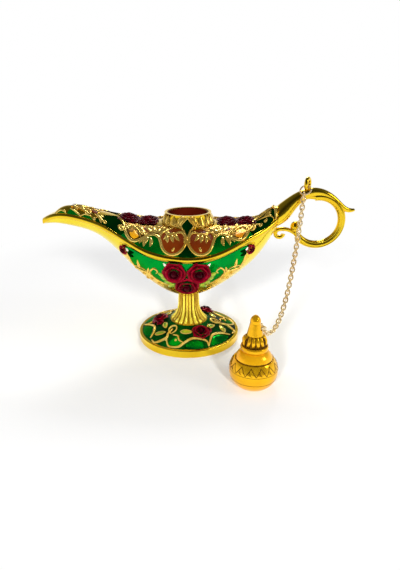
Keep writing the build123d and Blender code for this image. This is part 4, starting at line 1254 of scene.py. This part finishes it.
# Each flower: its place, its radius and its height
FOOT_FLOWERS = (((13.0, -66.0), 3.7, 2.8), ((12.9, -50.0), 1.7, 1.5))
FOOT_LIFT = 0.2
vines, gems, cells, flowers = bmesh.new(), bmesh.new(), bmesh.new(), bmesh.new()
for sector in range(FOOT_SECTORS):
    turn = sector * 360 / FOOT_SECTORS
    for places, width in VINES:
        plan = polar(places, turn)
        ribbon(vines, plan, width, rise=0.5, lift=FOOT_LIFT, ends=(0.5, 0.5), place_of=foot_skin)
    point, normal = foot_skin(*polar([VINE_BEAD], turn)[0])
    bead(vines, point + normal * FOOT_LIFT, radius=0.6)
    for root, tip, width in GEMS:
        rows = blade(gems, *polar([root, tip], turn), width, rise=0.6, lift=0.15, place_of=foot_skin)
        wire_round(vines, rim_of(rows), radius=0.26)
    for outline in BRIGHT_CELLS:
        cell(cells, polar(outline, turn), lift=0.16, place_of=foot_skin)
    for place, radius, height in FOOT_FLOWERS:
        seat, normal = foot_skin(*polar([place], turn)[0])
        rose(flowers, seat + normal * FOOT_LIFT, normal, radius, height, math.radians(turn))
make_piece("foot_vines", vines, [gold_vine])
make_piece("foot_leaves", gems, [leaf_lime])
make_piece("foot_bright_enamel", cells, [green])
foot_petals = make_piece("foot_rose_petals", flowers, [rose_heart_shade, rose_red])
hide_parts("foot_roses")

# %% [markdown]
# ## Stem
# The stem is a fluted trumpet: rounded ribs that widen towards the foot, with hollows between them.
# A single material would need a mask to be bright on the ribs and dark between them. So the solid carries the
# hollows in a darker, duller gold, which is painted shade, and each bright rib is a ribbon laid on it from
# foot to top, as wide at each height as the girth of the stem allows.

# %% Stem: ribs
STEM_RIBS = 20
STEM_FOOT, STEM_TOP, STEM_STEPS = 8.5, 20.6, 16
RIB_SHARE = 0.35
# Rays at the stem, the handle and the lid start this far out, in millimetres
BESIDE = 30
stem_tree = tree_over("stem")


def stem_face(bearing, height):
    """Point and normal of the stem at a bearing in degrees and a height in millimetres."""
    out = Vector((math.cos(math.radians(bearing)), math.sin(math.radians(bearing)), 0))
    hit = stem_tree.ray_cast((out * BESIDE + Vector((0, 0, height))) * MM, -out)
    return hit[0] / MM, hit[1]


def ribs(mesh, count, heights, face, middle, rise):
    """Adds rounded ribs that follow a turned form, in step with its girth."""
    for number in range(count):
        bearing = 360 * (number + 0.5) / count
        path = [Vector((bearing, height)) for height in heights]
        girths = [2 * math.pi * (face(bearing, height)[0] - middle).xy.length for height in heights]
        widths = [RIB_SHARE * girth / count for girth in girths]
        ribbon_along(mesh, path, half_width=1.0, rise=rise, lift=0.0, place_of=face, widths=widths)


mesh = bmesh.new()
ribs(mesh, STEM_RIBS, np.linspace(STEM_FOOT, STEM_TOP, STEM_STEPS), stem_face, middle=Vector(), rise=0.4)
make_piece("stem_ribs", mesh, [gold_rib])

# %% [markdown]
# ## Handle
# The handle's loop is reeded: fine ridges run round it. At its top the loop flows into the strand that comes
# from the body. A bump could hint at the ridges, but it would vanish at the loop's edge, so each ridge is
# a thin ribbon on the front, laid only where a level ray meets the handle, with its mirror image at the back.
# At the top, a row of rings that shrink along an arc carries the loop into the strand, so no step shows.

# %% Handle: reeds round the loop
handle_tree = tree_over("handle")
LOOP_MIDDLE = (54.0, 52.6)
REED_REACH = (9.2, 10.1, 11.0)
REED_START, REED_END, REED_STEP = -165, 46, 6


def handle_hit(x, z):
    """What a level ray from the front meets on the handle, if anything, at a place seen from the side."""
    return handle_tree.ray_cast(Vector((x, -BESIDE, z)) * MM, TO_BACK)


def handle_face(x, z):
    """Point and normal on the front of the handle at a place seen from the side, in millimetres."""
    hit = handle_hit(x, z)
    return hit[0] / MM, hit[1]


mesh = bmesh.new()
for reach in REED_REACH:
    places = []
    for bearing in range(REED_START, REED_END, REED_STEP):
        way = math.radians(bearing)
        place = Vector((LOOP_MIDDLE[0] + reach * math.cos(way), LOOP_MIDDLE[1] + reach * math.sin(way)))
        if handle_hit(*place)[0]:
            places.append(place)
    ribbon_along(mesh, places, half_width=0.2, rise=0.25, lift=0.02, ends=(0.2, 0.2), place_of=handle_face)
make_piece("handle_reeds", mesh, [gold_hull], mirrored=True)

# %% Handle: where the loop flows into the strand
BLEND_START, BLEND_SWEEP = 94, 34
BLEND_REACH, BLEND_RISE = 10.1, 1.3
BLEND_SIZE, BLEND_TAPER = 1.6, 1.1
BLEND_STEPS, BLEND_SIDES = 12, 12
mesh = bmesh.new()
rings = []
for step in range(BLEND_STEPS + 1):
    share = step / BLEND_STEPS
    way = math.radians(BLEND_START + BLEND_SWEEP * share)
    reach = BLEND_REACH + BLEND_RISE * share
    out = Vector((math.cos(way), 0, math.sin(way)))
    middle = Vector((LOOP_MIDDLE[0], 0, LOOP_MIDDLE[1])) + out * reach
    size = BLEND_SIZE - BLEND_TAPER * share
    ring = []
    for side in range(BLEND_SIDES):
        turn = 2 * math.pi * side / BLEND_SIDES
        spoke = out * math.cos(turn) + Vector((0, math.sin(turn), 0))
        ring.append(mesh.verts.new((middle + spoke * size) * MM))
    rings.append(ring)
join_rings(mesh, rings, closed=False)
bmesh.ops.recalc_face_normals(mesh, faces=mesh.faces[:])
make_piece("handle_blend", mesh, [gold])

# %% [markdown]
# ## Lid: engraved band
# The lid has a band of hatched triangles cut under its seam and one plain line below. On the real lid these
# are shallow cuts filled with dark polish. Cutting them would mean changing the solid, so here they are thin
# strips in a dull finish on the lid's own face, and they move with the lid.

# %% Lid: map
lid_tree = tree_over("lid_bulb", "lid_dome", "lid_cone")
LID_AXIS = Vector((24.8, -40.8, 0.0))
LID_RADIUS = 8.6
LID_GIRTH = 2 * math.pi * LID_RADIUS
CIRCLE_STEPS = 60


def lid_face(around, height):
    """Point and normal of the lid at a way round it and a height, in millimetres."""
    bearing = -math.pi / 2 + around / LID_RADIUS
    out = Vector((math.cos(bearing), math.sin(bearing), 0))
    hit = lid_tree.ray_cast((LID_AXIS + out * BESIDE + Vector((0, 0, height))) * MM, -out)
    return hit[0] / MM, hit[1]


def lid_circle(height):
    """Places all round the lid at a height."""
    return [Vector((LID_GIRTH * step / CIRCLE_STEPS, height)) for step in range(CIRCLE_STEPS)]


print("lid:", round(LID_GIRTH, 1), "mm round")

# %% Lid: engraved band
TRIANGLES = 14
BAND_TOP, BAND_FOOT = 10.7, 7.8
# Each line round the lid: its height and its half width
LID_LINES = ((4.1, 0.1), (BAND_FOOT - 0.35, 0.08), (11.4, 0.2))
SIDE_STEPS, HATCH_STEPS = 6, 4
HATCHES = (0.3, 0.5, 0.7)
HATCH_NEAR, HATCH_SPREAD, HATCH_RISE = 0.4, 0.35, 0.2
mesh = bmesh.new()
pitch = LID_GIRTH / TRIANGLES
for number in range(TRIANGLES):
    left = number * pitch
    peak = Vector((left + pitch / 2, BAND_TOP))
    for foot in (Vector((left, BAND_FOOT)), Vector((left + pitch, BAND_FOOT))):
        side = [foot.lerp(peak, step / SIDE_STEPS) for step in range(SIDE_STEPS + 1)]
        ribbon_along(mesh, side, half_width=0.16, rise=0.05, lift=0.02, ends=(0.8, 0.8), place_of=lid_face)
    for share in HATCHES:
        start = Vector((left, BAND_FOOT)).lerp(peak, share)
        stop = Vector((left + pitch * (HATCH_NEAR + HATCH_SPREAD * (1 - share)), BAND_FOOT + HATCH_RISE))
        hatch = [start.lerp(stop, step / HATCH_STEPS) for step in range(HATCH_STEPS + 1)]
        ribbon_along(mesh, hatch, half_width=0.09, rise=0.04, lift=0.02, ends=(0.6, 0.6), place_of=lid_face)
for height, width in LID_LINES:
    ribbon_along(mesh, lid_circle(height), width, rise=0.04, lift=0.02, closed=True, place_of=lid_face)
make_piece("lid_engraving", mesh, [engraving_and_hollow_shade], body="lid")

# %% [markdown]
# ## Lid: ribs of the cone and its flange
# Above its seam the lid has a rounded flange and a small fluted cone under the finial. The cone's solid takes
# the engraving's dark finish, which is painted shade in the hollows, and bright ribs lie over it as on the
# stem.
# A straight cone would look thin, so the ribs bulge in the middle. The flange is a ribbon closed into a ring.

# %% Lid: ribs of the cone and its flange
CONE_RIBS, CONE_STEPS = 12, 10
FLANGE_HEIGHT = 15.6
CONE_FOOT, CONE_TOP, CONE_BULGE = 16.7, 20.4, 0.6


def cone_face(bearing, height):
    """Point and normal of a bulging cone at a bearing in degrees and a height in millimetres."""
    point, normal = lid_face((math.radians(bearing) + math.pi / 2) * LID_RADIUS, height)
    share = (height - CONE_FOOT) / (CONE_TOP - CONE_FOOT)
    return point + normal * CONE_BULGE * math.sin(math.pi * share), normal


mesh = bmesh.new()
ribs(mesh, CONE_RIBS, np.linspace(CONE_FOOT, CONE_TOP, CONE_STEPS), cone_face, middle=LID_AXIS, rise=0.5)
flange = lid_circle(FLANGE_HEIGHT)
ribbon_along(mesh, flange, half_width=0.95, rise=0.3, lift=0.0, closed=True, place_of=lid_face)
make_piece("lid_cone_ribs", mesh, [gold_lid], body="lid")
